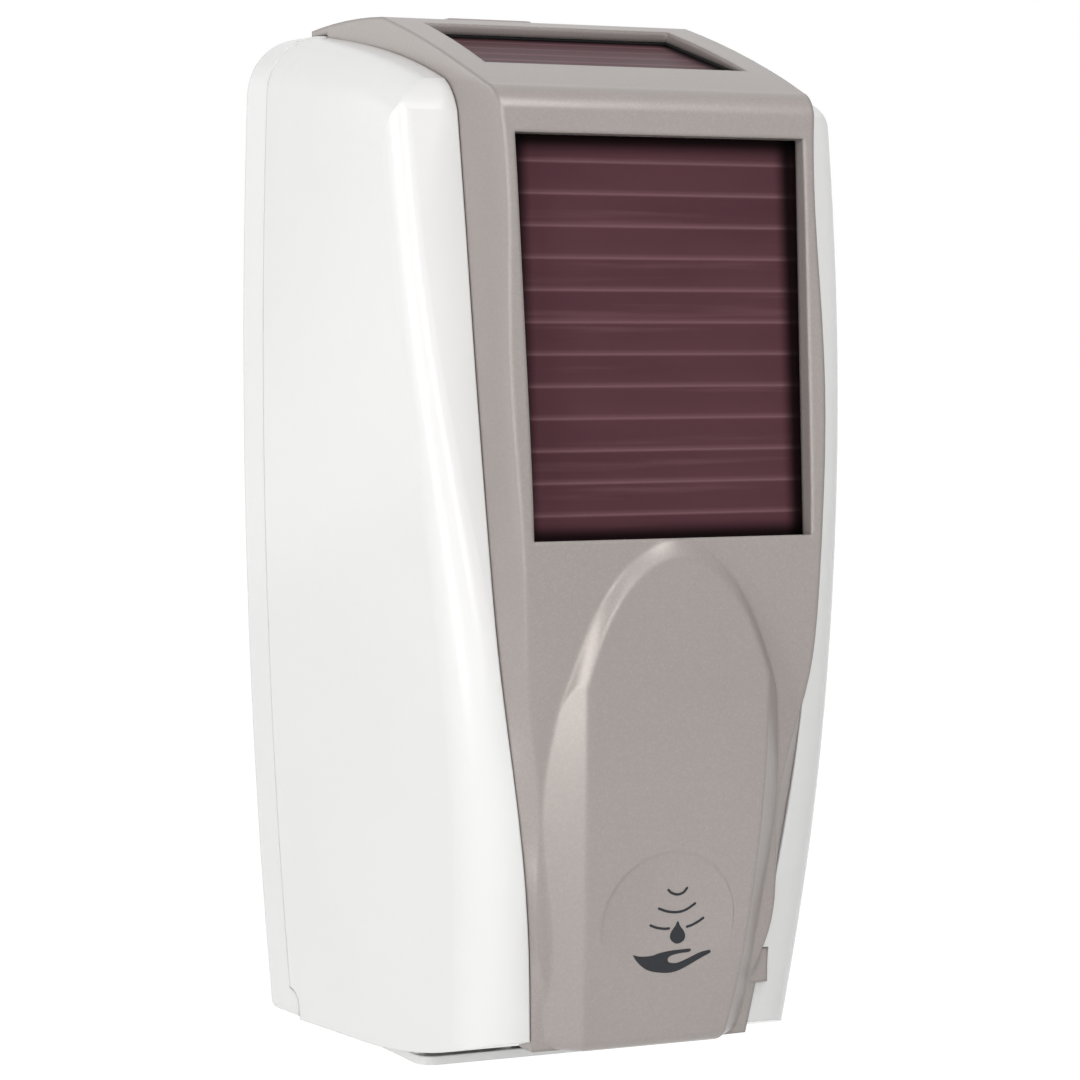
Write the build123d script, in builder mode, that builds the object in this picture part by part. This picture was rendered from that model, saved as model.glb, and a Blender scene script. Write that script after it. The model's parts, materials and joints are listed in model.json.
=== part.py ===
from build123d import *
import math
import os

# A wall-mounted automatic soap dispenser. The origin is the centre of the wall screw pattern on the
# back face, +Z is up, the wall is the plane y = 0 and the front looks along -Y. Lengths are in mm.
# A depth is a distance from the wall, so a point at depth d has y = -d.

os.makedirs("parts", exist_ok=True)

# Shell sizes that drive the rest
half_width = 66.4
shell_top = 141.4
shell_bottom = -138.4
shell_height = shell_top - shell_bottom
cover_depth = 129.0
nose_rise = 12.9
nose_depth = cover_depth + nose_rise
housing_depth = 13.0
crown_radius = 17.0
side_bow_radius = 2080.0
side_bow_height = 45.0

# Walls and gaps
wall = 2.6
housing_wall = 2.5
panel_wall = 2.2
seam_gap = 0.3
slip = 0.3
running_gap = 0.05
held_gap = 0.02
overrun = 30.0
seam_depth = housing_depth + seam_gap

# Cover sections: height, half width, depth and corner radius shares
cover_section_shares = (
    (-0.013, 0.702, 0.903, 0.109),
    (0.155, 0.755, 0.974, 0.109),
    (0.316, 0.815, 1.000, 0.101),
    (0.495, 0.893, 0.970, 0.081),
    (0.673, 0.959, 0.907, 0.058),
    (0.852, 0.994, 0.840, 0.049),
    (1.017, 1.003, 0.787, 0.049),
)

# Crown sections over the cover's top: depth, top height and corner radius shares
crown_section_shares = (
    (0.080, 1.000, 1.00),
    (0.434, 0.976, 1.00),
    (0.760, 0.938, 0.82),
    (1.010, 0.890, 0.70),
)

# Panel sections: height, seam half width, seam depth, crest half width and crest depth shares
panel_section_shares = (
    (0.000, 0.462, 0.913, 0.433, 0.848),
    (0.102, 0.512, 0.958, 0.479, 0.890),
    (0.209, 0.569, 0.986, 0.527, 0.917),
    (0.291, 0.620, 0.998, 0.548, 0.934),
    (0.341, 0.649, 0.998, 0.593, 0.953),
    (0.405, 0.678, 0.988, 0.633, 0.973),
    (0.495, 0.696, 0.969, 0.652, 0.982),
    (0.580, 0.702, 0.942, 0.675, 0.975),
    (0.727, 0.702, 0.884, 0.684, 0.951),
    (0.888, 0.702, 0.830, 0.681, 0.922),
    (1.031, 0.696, 0.775, 0.678, 0.891),
)

# Rows of the cover's and the panel's side view: depth and height shares, then how far a wall's
# thickness draws the point back and down, also as shares
cover_profile_shares = (
    (0.450, 0.976, 0.0, 1.0),
    (0.760, 0.938, 0.0, 1.0),
    (0.802, 0.922, 0.7, 0.7),
    (0.829, 0.894, 1.0, 0.0),
    (1.300, 0.850, 0.0, 0.0),
    (1.300, 0.120, 0.0, 0.0),
    (0.945, 0.038, 0.0, -1.0),
    (0.710, 0.012, 0.0, -1.0),
    (0.460, 0.001, 0.0, -1.0),
)
panel_profile_shares = (
    (0.0100, 1.0080, 0.0, 1.0),
    (0.2000, 1.0114, 0.0, 1.0),
    (0.3800, 1.0080, 0.0, 1.0),
    (0.6250, 0.9725, 0.0, 1.0),
    (0.8680, 0.9285, 0.3, 1.0),
    (0.9060, 0.9165, 0.8, 0.8),
    (0.9215, 0.8950, 1.0, 0.0),
    (1.3000, 0.8900, 0.0, 0.0),
    (1.3000, 0.0254, 0.0, -1.0),
    (0.0100, 0.0254, 0.0, -1.0),
)

# Nose sections from the foot up: height, half width, depth and corner bevel shares
nose_section_shares = (
    (-0.02, 0.77, 0.872, 0.27),
    (0.07, 0.885, 0.921, 0.27),
    (0.15, 0.94, 0.956, 0.27),
    (0.24, 0.98, 0.982, 0.27),
    (0.33, 1.00, 0.997, 0.27),
    (0.42, 1.00, 1.000, 0.27),
    (0.52, 1.00, 1.000, 0.27),
    (0.60, 1.00, 1.000, 0.27),
)
nose_half_share = 0.542
nose_foot_share = 0.0254
nose_spring_share = 0.2087
nose_top_share = 0.5297
nose_relief = 10.9
nose_root = 19.0
nose_rim = 10.5
nose_brow = 29.0
nose_heel = 5.0
nose_arch_steps = 8
nose_turns = (0, 20, 40, 58)  # degrees round the rim's curve
arch_outset = 1.0
nose_half = nose_half_share * half_width
nose_base_depth = nose_depth - nose_relief
nose_root_depth = nose_base_depth - nose_root

# Shallow dish in the nose
dish_radius = 19.4
dish_sink = 1.5
dish_scoop_radius = 190.0
dish_tilt = 9.0
dish_height_share = 0.148
dish_depth_share = 0.9577

# Windows for the solar cells: near and far half width, length, height and depth shares
front_window_shares = (0.6084, 0.6325, 0.3742, 0.6966, 0.952)
top_window_shares = (0.5828, 0.5602, 0.3256, 0.97266, 0.5835)
front_window_lean = 4.33
front_recess = 4.6
top_window_lean = 15.2
top_recess = 0.8
window_frame = 2.0
cell_margin = 1.6
cell_thickness = 2.4
gasket_thickness = 0.8
retainer_thickness = 2.0


def shell_z(share):
    """Height at a share of the shell's height above its bottom."""
    return shell_bottom + share * shell_height


def front_plane(depth):
    """Upright plane at a depth, whose sketches read as seen from the front."""
    return Plane.XZ.offset(depth)


def slab(left, right, back, front, low, high, mode=Mode.ADD):
    """A block of the open part between two x, two depth and two height values."""
    with Locations(((left + right) / 2, -(back + front) / 2, (low + high) / 2)):
        Box(right - left, front - back, high - low, mode=mode)


def post(x, depth, low, high, radius, mode=Mode.ADD):
    """An upright round bar of the open part."""
    with Locations((x, -depth, (low + high) / 2)):
        Cylinder(radius, high - low, mode=mode)


def dowel(x, z, back, front, radius, mode=Mode.ADD):
    """A round bar of the open part that runs from the back to the front."""
    with Locations((x, -(back + front) / 2, z)):
        Cylinder(radius, front - back, rotation=(90, 0, 0), mode=mode)


def axle(depth, z, left, right, radius, mode=Mode.ADD):
    """A round bar of the open part that runs from left to right."""
    with Locations(((left + right) / 2, -depth, z)):
        Cylinder(radius, right - left, rotation=(0, 90, 0), mode=mode)


def rear_half_width(z):
    """Half width of the shell at its rear seam, a shallow bow."""
    return half_width - (z - side_bow_height) ** 2 / (2 * side_bow_radius)


def crown_half_width(depth, z):
    """Half width of the cover's side at a depth, between its rear seam and front corner."""
    rear_half = rear_half_width(z)
    front_half = cover_section_shares[-2][1] * half_width
    front = cover_section_shares[-2][2] * cover_depth
    share = (depth - seam_depth) / (front - seam_depth)
    return rear_half + share * (front_half - rear_half)


def profile_points(rows, depth, inset):
    """Points of a side view's outline, drawn in by inset, from its rows of shares."""
    return [
        (-depth_share * depth + back_share * inset, shell_z(height_share) - down_share * inset)
        for depth_share, height_share, back_share, down_share in rows
    ]


def crown_solid(inset):
    """A long block whose rounded upper corners shape the cover's top."""
    with BuildPart() as solid:
        for depth_share, top_share, corner_share in crown_section_shares:
            depth = depth_share * cover_depth
            top = shell_z(top_share) - inset
            radius = corner_share * crown_radius - inset
            half = crown_half_width(depth, top - radius) - inset
            with BuildSketch(front_plane(depth)):
                with BuildLine():
                    roof = Line((0, top), (half - radius, top))
                    turn = RadiusArc(roof @ 1, (half, top - radius), radius)
                    flank = Line(turn @ 1, (half + crown_radius, shell_bottom - overrun))
                    base = Line(flank @ 1, (0, shell_bottom - overrun))
                    Line(base @ 1, roof @ 0)
                make_face()
                mirror(about=Plane.YZ)
        loft()
    return solid.part


def cover_solid(inset, rear_depth):
    """The cover's outer form, drawn in by inset all round and closed at rear_depth."""
    with BuildPart() as solid:
        for height_share, width_share, depth_share, corner_share in cover_section_shares:
            z = shell_z(height_share)
            front_half = width_share * half_width - inset
            rear_half = rear_half_width(z) - inset
            front = depth_share * cover_depth - inset
            with BuildSketch(Plane.XY.offset(z)) as section:
                with BuildLine():
                    Polyline(
                        (rear_half, -rear_depth),
                        (front_half, -front),
                        (-front_half, -front),
                        (-rear_half, -rear_depth),
                        close=True,
                    )
                make_face()
                corners = section.vertices().group_by(Axis.Y)[0]
                fillet(corners, radius=max(corner_share * cover_depth - inset, wall))
        loft()
        points = profile_points(cover_profile_shares, cover_depth, inset)
        with BuildSketch(Plane.YZ):
            with BuildLine():
                top = ThreePointArc((-rear_depth, shell_top - inset), points[0], points[1])
                brow = ThreePointArc(top @ 1, points[2], points[3])
                chin = Polyline(*points[3:7])
                belly = ThreePointArc(*points[6:])
                base = Line(belly @ 1, (-rear_depth, shell_bottom + inset))
                Line(base @ 1, top @ 0)
            make_face()
        extrude(amount=2 * half_width, both=True, mode=Mode.INTERSECT)
        add(crown_solid(inset), mode=Mode.INTERSECT)
    return solid.part


def seam_solid(gap):
    """What the panel's sides enclose in the front view, grown by gap."""
    with BuildPart() as solid:
        for height_share, seam_share, _, _, _ in panel_section_shares:
            half = seam_share * half_width + gap
            with BuildSketch(Plane.XY.offset(shell_z(height_share))):
                with Locations((0, -cover_depth / 2)):
                    Rectangle(2 * half, 2 * cover_depth)
        loft()
    return solid.part


def panel_solid(inset):
    """The panel's outer form without its nose, drawn in by inset."""
    with BuildPart() as solid:
        for height_share, half_share, depth_share, crest_half_share, crest_share in panel_section_shares:
            seam_half = half_share * half_width - inset
            crest_half = crest_half_share * half_width - inset
            seam = depth_share * cover_depth - inset
            crest = crest_share * nose_depth - inset
            with BuildSketch(Plane.XY.offset(shell_z(height_share))):
                with BuildLine():
                    Polyline(
                        (seam_half, overrun),
                        (seam_half, -seam),
                        (crest_half, -crest),
                        (-crest_half, -crest),
                        (-seam_half, -seam),
                        (-seam_half, overrun),
                        close=True,
                    )
                make_face()
        loft()
        points = profile_points(panel_profile_shares, nose_depth, inset)
        with BuildSketch(Plane.YZ):
            with BuildLine():
                ThreePointArc(*points[:3])
                ThreePointArc(*points[2:5])
                ThreePointArc(*points[4:7])
                Polyline(*points[6:], points[0])
            make_face()
        extrude(amount=2 * half_width, both=True, mode=Mode.INTERSECT)
    return solid.part


def arch_points(half, top):
    """Points of the half ellipse over the nose, from its right foot to its left."""
    turns = [math.pi * step / nose_arch_steps for step in range(nose_arch_steps + 1)]
    rise = top - nose_spring_z
    return [(half * math.cos(turn), nose_spring_z + rise * math.sin(turn)) for turn in turns]


def nose_bar(inset):
    """An upright bar with the nose's bowed face, bevelled corners and heel, drawn in by inset."""
    with BuildPart() as bar:
        for height_share, half_share, depth_share, corner_share in nose_section_shares:
            half = half_share * nose_half - inset
            front = depth_share * nose_depth - inset
            with BuildSketch(Plane.XY.offset(shell_z(height_share))) as section:
                with Locations((0, -front / 2)):
                    Rectangle(2 * half, front)
                corners = section.vertices().group_by(Axis.Y)[0]
                chamfer(corners, length=corner_share * nose_half - inset * (2 - math.sqrt(2)))
        loft()
        slab(
            -half_width, half_width, -overrun, 2 * nose_depth, shell_bottom - overrun,
            nose_foot_z + inset, Mode.SUBTRACT,
        )
        foot = bar.faces().sort_by(Axis.Z)[0].edges().sort_by(Axis.Y)[:3]
        fillet(foot, radius=nose_heel - inset / 2)
    return bar.part


def nose_solid(inset):
    """The bullet-shaped nose with its soft rim, drawn in by inset."""
    with BuildPart() as solid:
        for root, turn in [(nose_root_depth, 0)] + [(nose_base_depth, turn) for turn in nose_turns]:
            rise = math.sin(math.radians(turn)) / math.sin(math.radians(nose_turns[-1]))
            spread = math.cos(math.radians(turn))
            depth = root + rise * (nose_relief + arch_outset) - inset
            half = nose_half + arch_outset - nose_rim + nose_rim * spread - inset
            top = nose_top_z - nose_brow + nose_brow * spread - inset
            with BuildSketch(front_plane(depth)):
                with BuildLine():
                    arch = Spline(arch_points(half, top), tangents=((0, 1), (0, -1)))
                    Polyline(
                        arch @ 1, (-half, shell_bottom - overrun), (half, shell_bottom - overrun), arch @ 0
                    )
                make_face()
        loft()
        add(nose_bar(inset), mode=Mode.INTERSECT)
    return solid.part


def dish_ball():
    """The round tool that scoops the shallow dish out of the nose's face."""
    lean = math.radians(dish_tilt)
    depth = dish_depth_share * nose_depth + (dish_scoop_radius - dish_sink) * math.cos(lean)
    z = shell_z(dish_height_share) - (dish_scoop_radius - dish_sink) * math.sin(lean)
    with BuildPart() as ball:
        with Locations((0, -depth, z)):
            Sphere(dish_scoop_radius)
        dowel(0, shell_z(dish_height_share), 0, 2 * nose_depth, dish_radius, Mode.INTERSECT)
    return ball.part


def window_plane(shares, lean_from_front):
    """Plane of a window, leaning back from upright by an angle, with its normal outwards."""
    angle = math.radians(lean_from_front)
    _, _, _, height_share, depth_share = shares
    origin = (0, -depth_share * nose_depth, shell_z(height_share))
    return Plane(origin=origin, x_dir=(1, 0, 0), z_dir=(0, -math.cos(angle), math.sin(angle)))


def window_face(sizes, grow):
    """A window's outline in the open sketch, grown all round."""
    low_half, top_half, height = sizes
    with BuildLine() as outline:
        Polyline(
            (-low_half - grow, -height / 2 - grow),
            (low_half + grow, -height / 2 - grow),
            (top_half + grow, height / 2 + grow),
            (-top_half - grow, height / 2 + grow),
            close=True,
        )
    make_face(outline.edges())


front_window = window_plane(front_window_shares, front_window_lean)
top_window = window_plane(top_window_shares, 90 - top_window_lean)
front_window_sizes = (
    front_window_shares[0] * half_width,
    front_window_shares[1] * half_width,
    front_window_shares[2] * shell_height,
)
top_window_sizes = (
    top_window_shares[0] * half_width,
    top_window_shares[1] * half_width,
    top_window_shares[2] * nose_depth,
)
panel_seam_half = max(row[1] for row in panel_section_shares) * half_width
low_seam_half = panel_section_shares[1][1] * half_width
nose_foot_z = shell_z(nose_foot_share)
nose_spring_z = shell_z(nose_spring_share)
nose_top_z = shell_z(nose_top_share)

# Back housing
screw_spacing_x = 50.0
screw_spacing_z = 76.0
wall_screw_radius = 2.6
wall_boss_radius = 6.5
wall_boss_depth = 5.0
housing_flare = 1.0
housing_heel = 3.0
chassis_step = 0.5
chassis_back = housing_depth + chassis_step
chassis_thickness = 2.5
chassis_front = chassis_back + chassis_thickness
chassis_side_room = 16.4
chassis_half = half_width - chassis_side_room
chassis_boss_radius = 4.0
chassis_boss_x = chassis_half - chassis_boss_radius
chassis_boss_high_z = 80.0
chassis_boss_low_z = -56.0
screw_radius = 1.5
screw_head_radius = 2.8
screw_head_height = 1.8
screw_bite = 8.0

# Cover hinge
hinge_height = 4.0
hinge_z = shell_bottom + hinge_height
hinge_depth = seam_depth
hinge_pin_radius = 1.5
hinge_boss_radius = 3.4
knuckle_radius = 4.4
hinge_inset = 26.4
ear_inner_x = half_width - hinge_inset
ear_width = 6.0
lug_width = 4.0
lug_reach = 9.0
lug_inner_x = ear_inner_x + ear_width + slip
lug_outer_x = lug_inner_x + lug_width
knuckle_inner_x = lug_outer_x + slip
hinge_relief = 4.7

# Cover: tongue gap, chin and the straps that carry the panel
tongue_step = 1.0
tongue = wall + tongue_step
chin_reach = 18.0
chin_back = cover_depth - chin_reach
chin_rise = 9.7
chin_high = nose_foot_z + chin_rise
strap_outset = tongue + slip
strap_inset = strap_outset + wall
strap_lap = 3.4
strap_half = panel_seam_half + strap_lap
low_strap_lap = 6.0
low_strap_half = low_seam_half + low_strap_lap
middle_strap_low = -30.0
low_strap_rise = 18.4
low_strap_low = shell_bottom + low_strap_rise
strap_height = 17.0
panel_screw_radius = 1.5
panel_screw_bite = 6.0
panel_boss_radius = 3.4
top_boss_x = 30.0
top_seat_drop = 9.1
top_seat_z = shell_top - top_seat_drop
middle_boss_x = 25.0
middle_boss_z = middle_strap_low + strap_height / 2
middle_seat_reach = 8.0
middle_seat_depth = cover_depth - middle_seat_reach
low_boss_x = 24.0
low_boss_z = low_strap_low + strap_height / 2
low_seat_reach = 12.5
low_seat_depth = cover_depth - low_seat_reach
tab_rise = 21.4
tab_height = 9.0
tab_low = shell_bottom + tab_rise
tab_high = tab_low + tab_height
tab_reach = 2.2
tab_x = low_seam_half + tab_reach
tab_thickness = 3.6
tab_front_reach = 5.6
tab_front = cover_depth - tab_front_reach
tab_back = tab_front - tab_thickness
strip_gap = 0.5
strip_low = shell_top + strip_gap

# Screws of the cell retainers
cell_boss_radius = 3.2
cell_screw_radius = 1.1
cell_screw_bite = 3.0
cell_head_radius = 2.2
cell_head_height = 1.5
cell_ear_radius = 3.2
front_ear_x = 24.0
front_ear_reach = 7.4
top_ear_x = 14.0
top_ear_reach = 6.0
retainer_rim = 5.0

# Cover latch, from its button down to its spring, and the hook on the cover
button_half = 13.6
button_back = 2.2
button_front = 22.4
button_gap = 0.8
button_height = 5.0
button_low = shell_top + button_gap
button_high = button_low + button_height
button_round = 1.6
button_travel = 3.0
stem_half = 6.0
stem_gap = 0.4
stem_thickness = 3.5
stem_length = 19.2
stem_back = chassis_front + stem_gap
stem_front = stem_back + stem_thickness
stem_low = button_low - stem_length
ledge_height = 3.0
ledge_reach = 3.7
ledge_front = stem_front + ledge_reach
guide_room = 1.0
guide_high = stem_low - button_travel - guide_room
spring_pocket = 4.5
latch_spring_seat = guide_high - spring_pocket
guide_floor = 0.9
guide_low = latch_spring_seat - guide_floor
guide_arm_height = 15.0
guide_arm_top = guide_high + guide_arm_height
guide_arm_width = 2.8
guide_depth = 8.0
guide_front = chassis_front + guide_depth
latch_spring_depth = chassis_front + guide_depth / 2
latch_spring_radius = 2.4
latch_wire = 0.35
latch_turns = 7
hook_half = 8.0
barb_gap = 1.0
barb_length = 2.7
barb_height = 2.5
barb_back = ledge_front + barb_gap
hook_back = barb_back + barb_length
hook_thickness = 3.7
hook_front = hook_back + hook_thickness
hook_sink = 0.7
hook_seat = top_seat_z - hook_sink
hook_height = 4.6
hook_low = hook_seat - hook_height
top_strap_back = hook_back - slip
top_strap_reach = 18.0
top_strap_front = top_strap_back + top_strap_reach
top_boss_depth = (top_strap_back + top_strap_front) / 2

# Battery box, under the latch guide
battery_radius = 7.15
battery_length = 50.0
battery_wall = 1.2
battery_lid_thickness = 1.2
battery_lid_gap = 0.4
battery_play = 0.5
battery_end_x = 0.6
contact_play = 0.7
contact_thickness = 0.5
contact_half_height = 5.0
battery_half = battery_end_x + battery_length + contact_play + contact_thickness + battery_wall
battery_lid_low = guide_low - battery_lid_gap - battery_lid_thickness
battery_low = battery_lid_low - slip - 2 * battery_radius - 2 * battery_wall
battery_back = chassis_front
battery_front = battery_back + 2 * battery_wall + 4 * battery_radius + battery_play
battery_button_share = 0.36
battery_ear_x = 35.0
battery_ear_half = 4.0
battery_ear_height = 9.0
battery_ear_top = battery_lid_low + battery_ear_height
battery_screw_z = battery_ear_top - battery_ear_half

# Chassis
chassis_top_room = 15.4
chassis_low_room = 12.4
chassis_top = shell_top - chassis_top_room
chassis_low = shell_bottom + chassis_low_room
vent_half = 34.0
vent_low_z = 14.0
vent_high_z = 72.0
low_vent_low_z = -52.0
low_vent_high_z = -10.0
shelf_rise = 80.4
shelf_top = shell_bottom + shelf_rise
shelf_thickness = 4.0
shelf_low = shelf_top - shelf_thickness
shelf_edge = 8.0
shelf_half = chassis_half - shelf_edge
shelf_rail = 2.0
shelf_rail_height = 8.0
shelf_rail_top = shelf_top + shelf_rail_height

# Gear train between the chassis and the pump
gear_module = 0.8
pressure_angle = math.radians(25)
pinion_teeth = 12
wheel_teeth = 30
flank_steps = 4
tooth_backlash = 0.16
addendum = gear_module
dedendum = 1.25 * gear_module
arbor_radius = 1.5
pitch_pinion = gear_module * pinion_teeth / 2
pitch_wheel = gear_module * wheel_teeth / 2
centre_distance = pitch_pinion + pitch_wheel
wheel_radius = pitch_wheel + addendum
rack_pitch_x = 22.0
rack_root_x = rack_pitch_x - dedendum
output_drop = 33.0
output_z = shelf_top - output_drop
output_x = rack_pitch_x + pitch_pinion
middle_turn = math.radians(50)
motor_turn = math.radians(-85)
middle_x = output_x + centre_distance * math.cos(middle_turn)
middle_z = output_z + centre_distance * math.sin(middle_turn)
motor_x = middle_x + centre_distance * math.cos(motor_turn)
motor_z = middle_z + centre_distance * math.sin(motor_turn)
gear_standoff = 14.0
rack_back = chassis_front + gear_standoff
rack_thickness = 6.0
rack_front = rack_back + rack_thickness
rack_width = 4.0
rack_reach = 8.0
rack_top = output_z + rack_reach
rack_teeth_below = 6
rack_teeth_above = 3
layer_gap = 0.6
wheel_face = 3.4
second_layer_back = rack_front + layer_gap
second_layer_front = second_layer_back + wheel_face
third_layer_back = second_layer_front + layer_gap
third_layer_front = third_layer_back + wheel_face
case_plate = 2.4
case_back = rack_back - layer_gap - case_plate
case_front = third_layer_front + layer_gap
case_wall = 1.8
case_column = 3.0
case_gap = 0.5
case_floor_gap = 2.4
case_left = rack_root_x - rack_width - 2 * case_column - case_gap
case_right = middle_x + wheel_radius + case_wall + case_gap
case_low = output_z - wheel_radius - case_wall - case_floor_gap
case_high = middle_z + wheel_radius + case_wall + case_gap
case_screw_radius = 1.1
motor_radius = 10.0
motor_length = 26.0
motor_shaft_radius = 1.0
motor_collar = 1.8
motor_collar_length = 6.0

# Refill bottle with its cap and pump
neck_stand = 11.0
neck_depth = case_front + case_plate + neck_stand
neck_radius = 15.0
pump_radius = 12.0
pump_flange_radius = 14.2
pump_flange_thickness = 2.5
cap_wall = 3.7
cap_radius = neck_radius + slip + cap_wall
cap_floor = 2.0
cap_height = 14.0
cap_top = shelf_top + cap_height
shelf_reach = 26.0
shelf_front = neck_depth + shelf_reach
neck_gap = 1.5
neck_low = shelf_top + cap_floor + pump_flange_thickness + neck_gap
neck_height = 10.0
bottle_throat = neck_low + neck_height
bottle_funnel = 12.0
bottle_shoulder = bottle_throat + bottle_funnel
bottle_half = chassis_half
bottle_rear_room = 2.5
bottle_back = chassis_front + bottle_rear_room
bottle_front_room = 27.0
bottle_front = cover_depth - bottle_front_room
bottle_head_room = 5.0
bottle_top = battery_low - bottle_head_room
bottle_throat_half = 26.0
bottle_throat_reach = 20.0
bottle_corner = 12.0
bottle_round = 5.0
bottle_wall = 1.6
lift_travel = 10.0
pump_length = 33.0
pump_low = shelf_top - pump_length
piston_radius = 5.0
piston_gap = 0.1
piston_engagement = 19.0
piston_top = pump_low + piston_engagement
chamber_room = 3.0
chamber_top = piston_top + lift_travel + chamber_room
inlet_radius = 2.0
pump_spring_length = 24.0
flange_top = pump_low - pump_spring_length
flange_thickness = 3.0
flange_radius = 11.0
spout_radius = 6.0
spout_bore = 3.0
spout_length = 20.0
spout_low = flange_top - flange_thickness - spout_length
pump_coil_radius = 7.4
pump_wire = 0.6
pump_turns = 7

# Outlet plate
outlet_margin = 3.0
outlet_half = ear_inner_x + outlet_margin
outlet_reach = 14.0
outlet_front = neck_depth + outlet_reach
outlet_thickness = 2.4
outlet_drop = 4.6
outlet_corner = 5.0
outlet_gap = 1.5
outlet_low = shell_bottom - outlet_drop
outlet_high = outlet_low + outlet_thickness
outlet_opening_front = outlet_front + 2 * outlet_gap
outlet_wall = 2.2
outlet_wall_half = ear_inner_x - outlet_gap / 3
outlet_wall_height = 25.0
outlet_wall_top = outlet_low + outlet_wall_height
outlet_rib_back = chassis_front + outlet_wall - slip
outlet_rib_height = 17.0
outlet_rib_top = outlet_low + outlet_rib_height
outlet_screw_x = 30.0
outlet_screw_height = 21.0
outlet_screw_z = outlet_low + outlet_screw_height
spout_hole_radius = 8.0

# Lifter fork
fork_thickness = 3.55
fork_high = flange_top - flange_thickness - running_gap
fork_low = fork_high - fork_thickness
fork_slot_half = spout_radius + slip
fork_left = -15.0
fork_back_reach = 13.0
fork_front_reach = 10.0
fork_back = neck_depth - fork_back_reach
fork_front = neck_depth + fork_front_reach

# Control electronics: the board, its cover and what stands on it
board_margin = 2.0
board_width = 36.0
board_height = 50.0
board_left = board_margin - chassis_half
board_right = board_left + board_width
board_drop = 4.0
board_high = shelf_low - board_drop
board_low = board_high - board_height
board_standoff = 4.0
board_back = chassis_front + board_standoff
board_thickness = 1.6
board_front = board_back + board_thickness
board_inset = 3.2
board_cover_left = board_left - board_margin
board_cover_right = board_right + board_margin
board_cover_low = board_low - board_margin
board_cover_high = board_high + board_margin
board_headroom = 16.4
board_cover_front = board_front + board_headroom
board_cover_wall = 1.6
post_inset_x = 18.0
post_inset_z = 34.0
cover_post_x = board_left + post_inset_x
cover_post_z = board_low + post_inset_z
cover_post_radius = 3.0
chip_size = 12.0
chip_height = 2.0
chip_inset_x = 16.0
chip_inset_z = 21.0
chip_x = board_left + chip_inset_x
chip_z = board_low + chip_inset_z
capacitor_radius = 3.2
capacitor_length = 11.0
capacitor_inset_x = 29.5
capacitor_inset_z = 30.0
capacitor_x = board_left + capacitor_inset_x
capacitor_z = board_low + capacitor_inset_z
capacitor_pitch = 8.0
connector_inset_x = 16.0
connector_inset_z = 44.5
connector_x = board_left + connector_inset_x
connector_z = board_low + connector_inset_z
connector_width = 12.0
connector_depth = 7.0
connector_height = 5.0
switch_inset_x = 17.0
switch_inset_z = 7.0
switch_x = board_left + switch_inset_x
switch_z = board_low + switch_inset_z
switch_width = 12.0
switch_height = 6.0
switch_depth = 4.4
slider_width = 3.0
slider_travel = 3.0
slider_rise = 2.5
slider_front = board_cover_front + slider_rise

# Sensors over the outlet plate
led_radius = 2.0
led_dome_share = 0.9
led_rim_share = 1.15
led_x = 12.0
led_inset = 4.0
led_gap = 1.6
led_length = 8.0
led_depth = outlet_front - led_inset
led_low = outlet_high + led_gap
sensor_board_half = 18.0
sensor_board_reach = 3.2
sensor_board_low = led_low + led_length
sensor_post_x = 16.0
sensor_post_radius = 1.5
lens_radius = 3.0


def housing_outline(inset, flare):
    """The housing's outline in the open sketch, drawn in by inset and widened by flare."""
    top = shell_top - inset
    low = shell_bottom + inset
    radius = crown_radius - inset
    shoulder = top - radius
    shoulder_half = rear_half_width(shoulder) - inset + flare
    heel_half = rear_half_width(low + housing_heel) - inset + flare
    with BuildLine() as outline:
        roof = Line((0, top), (shoulder_half - radius, top))
        turn = RadiusArc(roof @ 1, (shoulder_half, shoulder), radius)
        flank = ThreePointArc(
            turn @ 1, (half_width - inset + flare, side_bow_height), (heel_half, low + housing_heel)
        )
        heel = RadiusArc(flank @ 1, (heel_half - housing_heel, low), housing_heel)
        base = Line(heel @ 1, (0, low))
        Line(base @ 1, roof @ 0)
    make_face(outline.edges())
    mirror(about=Plane.YZ)


def tooth_points(teeth):
    """One involute tooth pointing along +X, from its root to its tip and back."""
    pitch_radius = gear_module * teeth / 2
    base_radius = pitch_radius * math.cos(pressure_angle)
    tip_radius = pitch_radius + addendum
    root_radius = pitch_radius - dedendum
    half_pitch_turn = math.pi / (2 * teeth) - tooth_backlash / (2 * pitch_radius)
    involute = math.tan(pressure_angle) - pressure_angle
    flank = []
    start = max(base_radius, root_radius)
    for step in range(flank_steps + 1):
        radius = start + (tip_radius - start) * step / flank_steps
        angle = math.acos(min(base_radius / radius, 1.0))
        turn = half_pitch_turn + involute - (math.tan(angle) - angle)
        flank.append((radius * math.cos(turn), radius * math.sin(turn)))
    start_turn = math.atan2(flank[0][1], flank[0][0])
    foot_radius = root_radius - dedendum / 4
    upper = [(foot_radius * math.cos(start_turn), foot_radius * math.sin(start_turn))] + flank
    lower = [(x, -y) for x, y in reversed(upper)]
    return upper + lower


def gear_disc(x, z, back, front, teeth, tooth_turn):
    """A spur gear of the open part, with one tooth centred at tooth_turn radians."""
    with BuildSketch(mode=Mode.PRIVATE) as tooth:
        with BuildLine():
            Polyline(*tooth_points(teeth), close=True)
        make_face()
    with BuildSketch(front_plane(back), mode=Mode.PRIVATE) as disc:
        with Locations((x, z)):
            Circle(gear_module * teeth / 2 - dedendum)
            with PolarLocations(0, teeth, start_angle=math.degrees(tooth_turn)):
                add(tooth.sketch)
    extrude(disc.sketch, amount=front - back)


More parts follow.
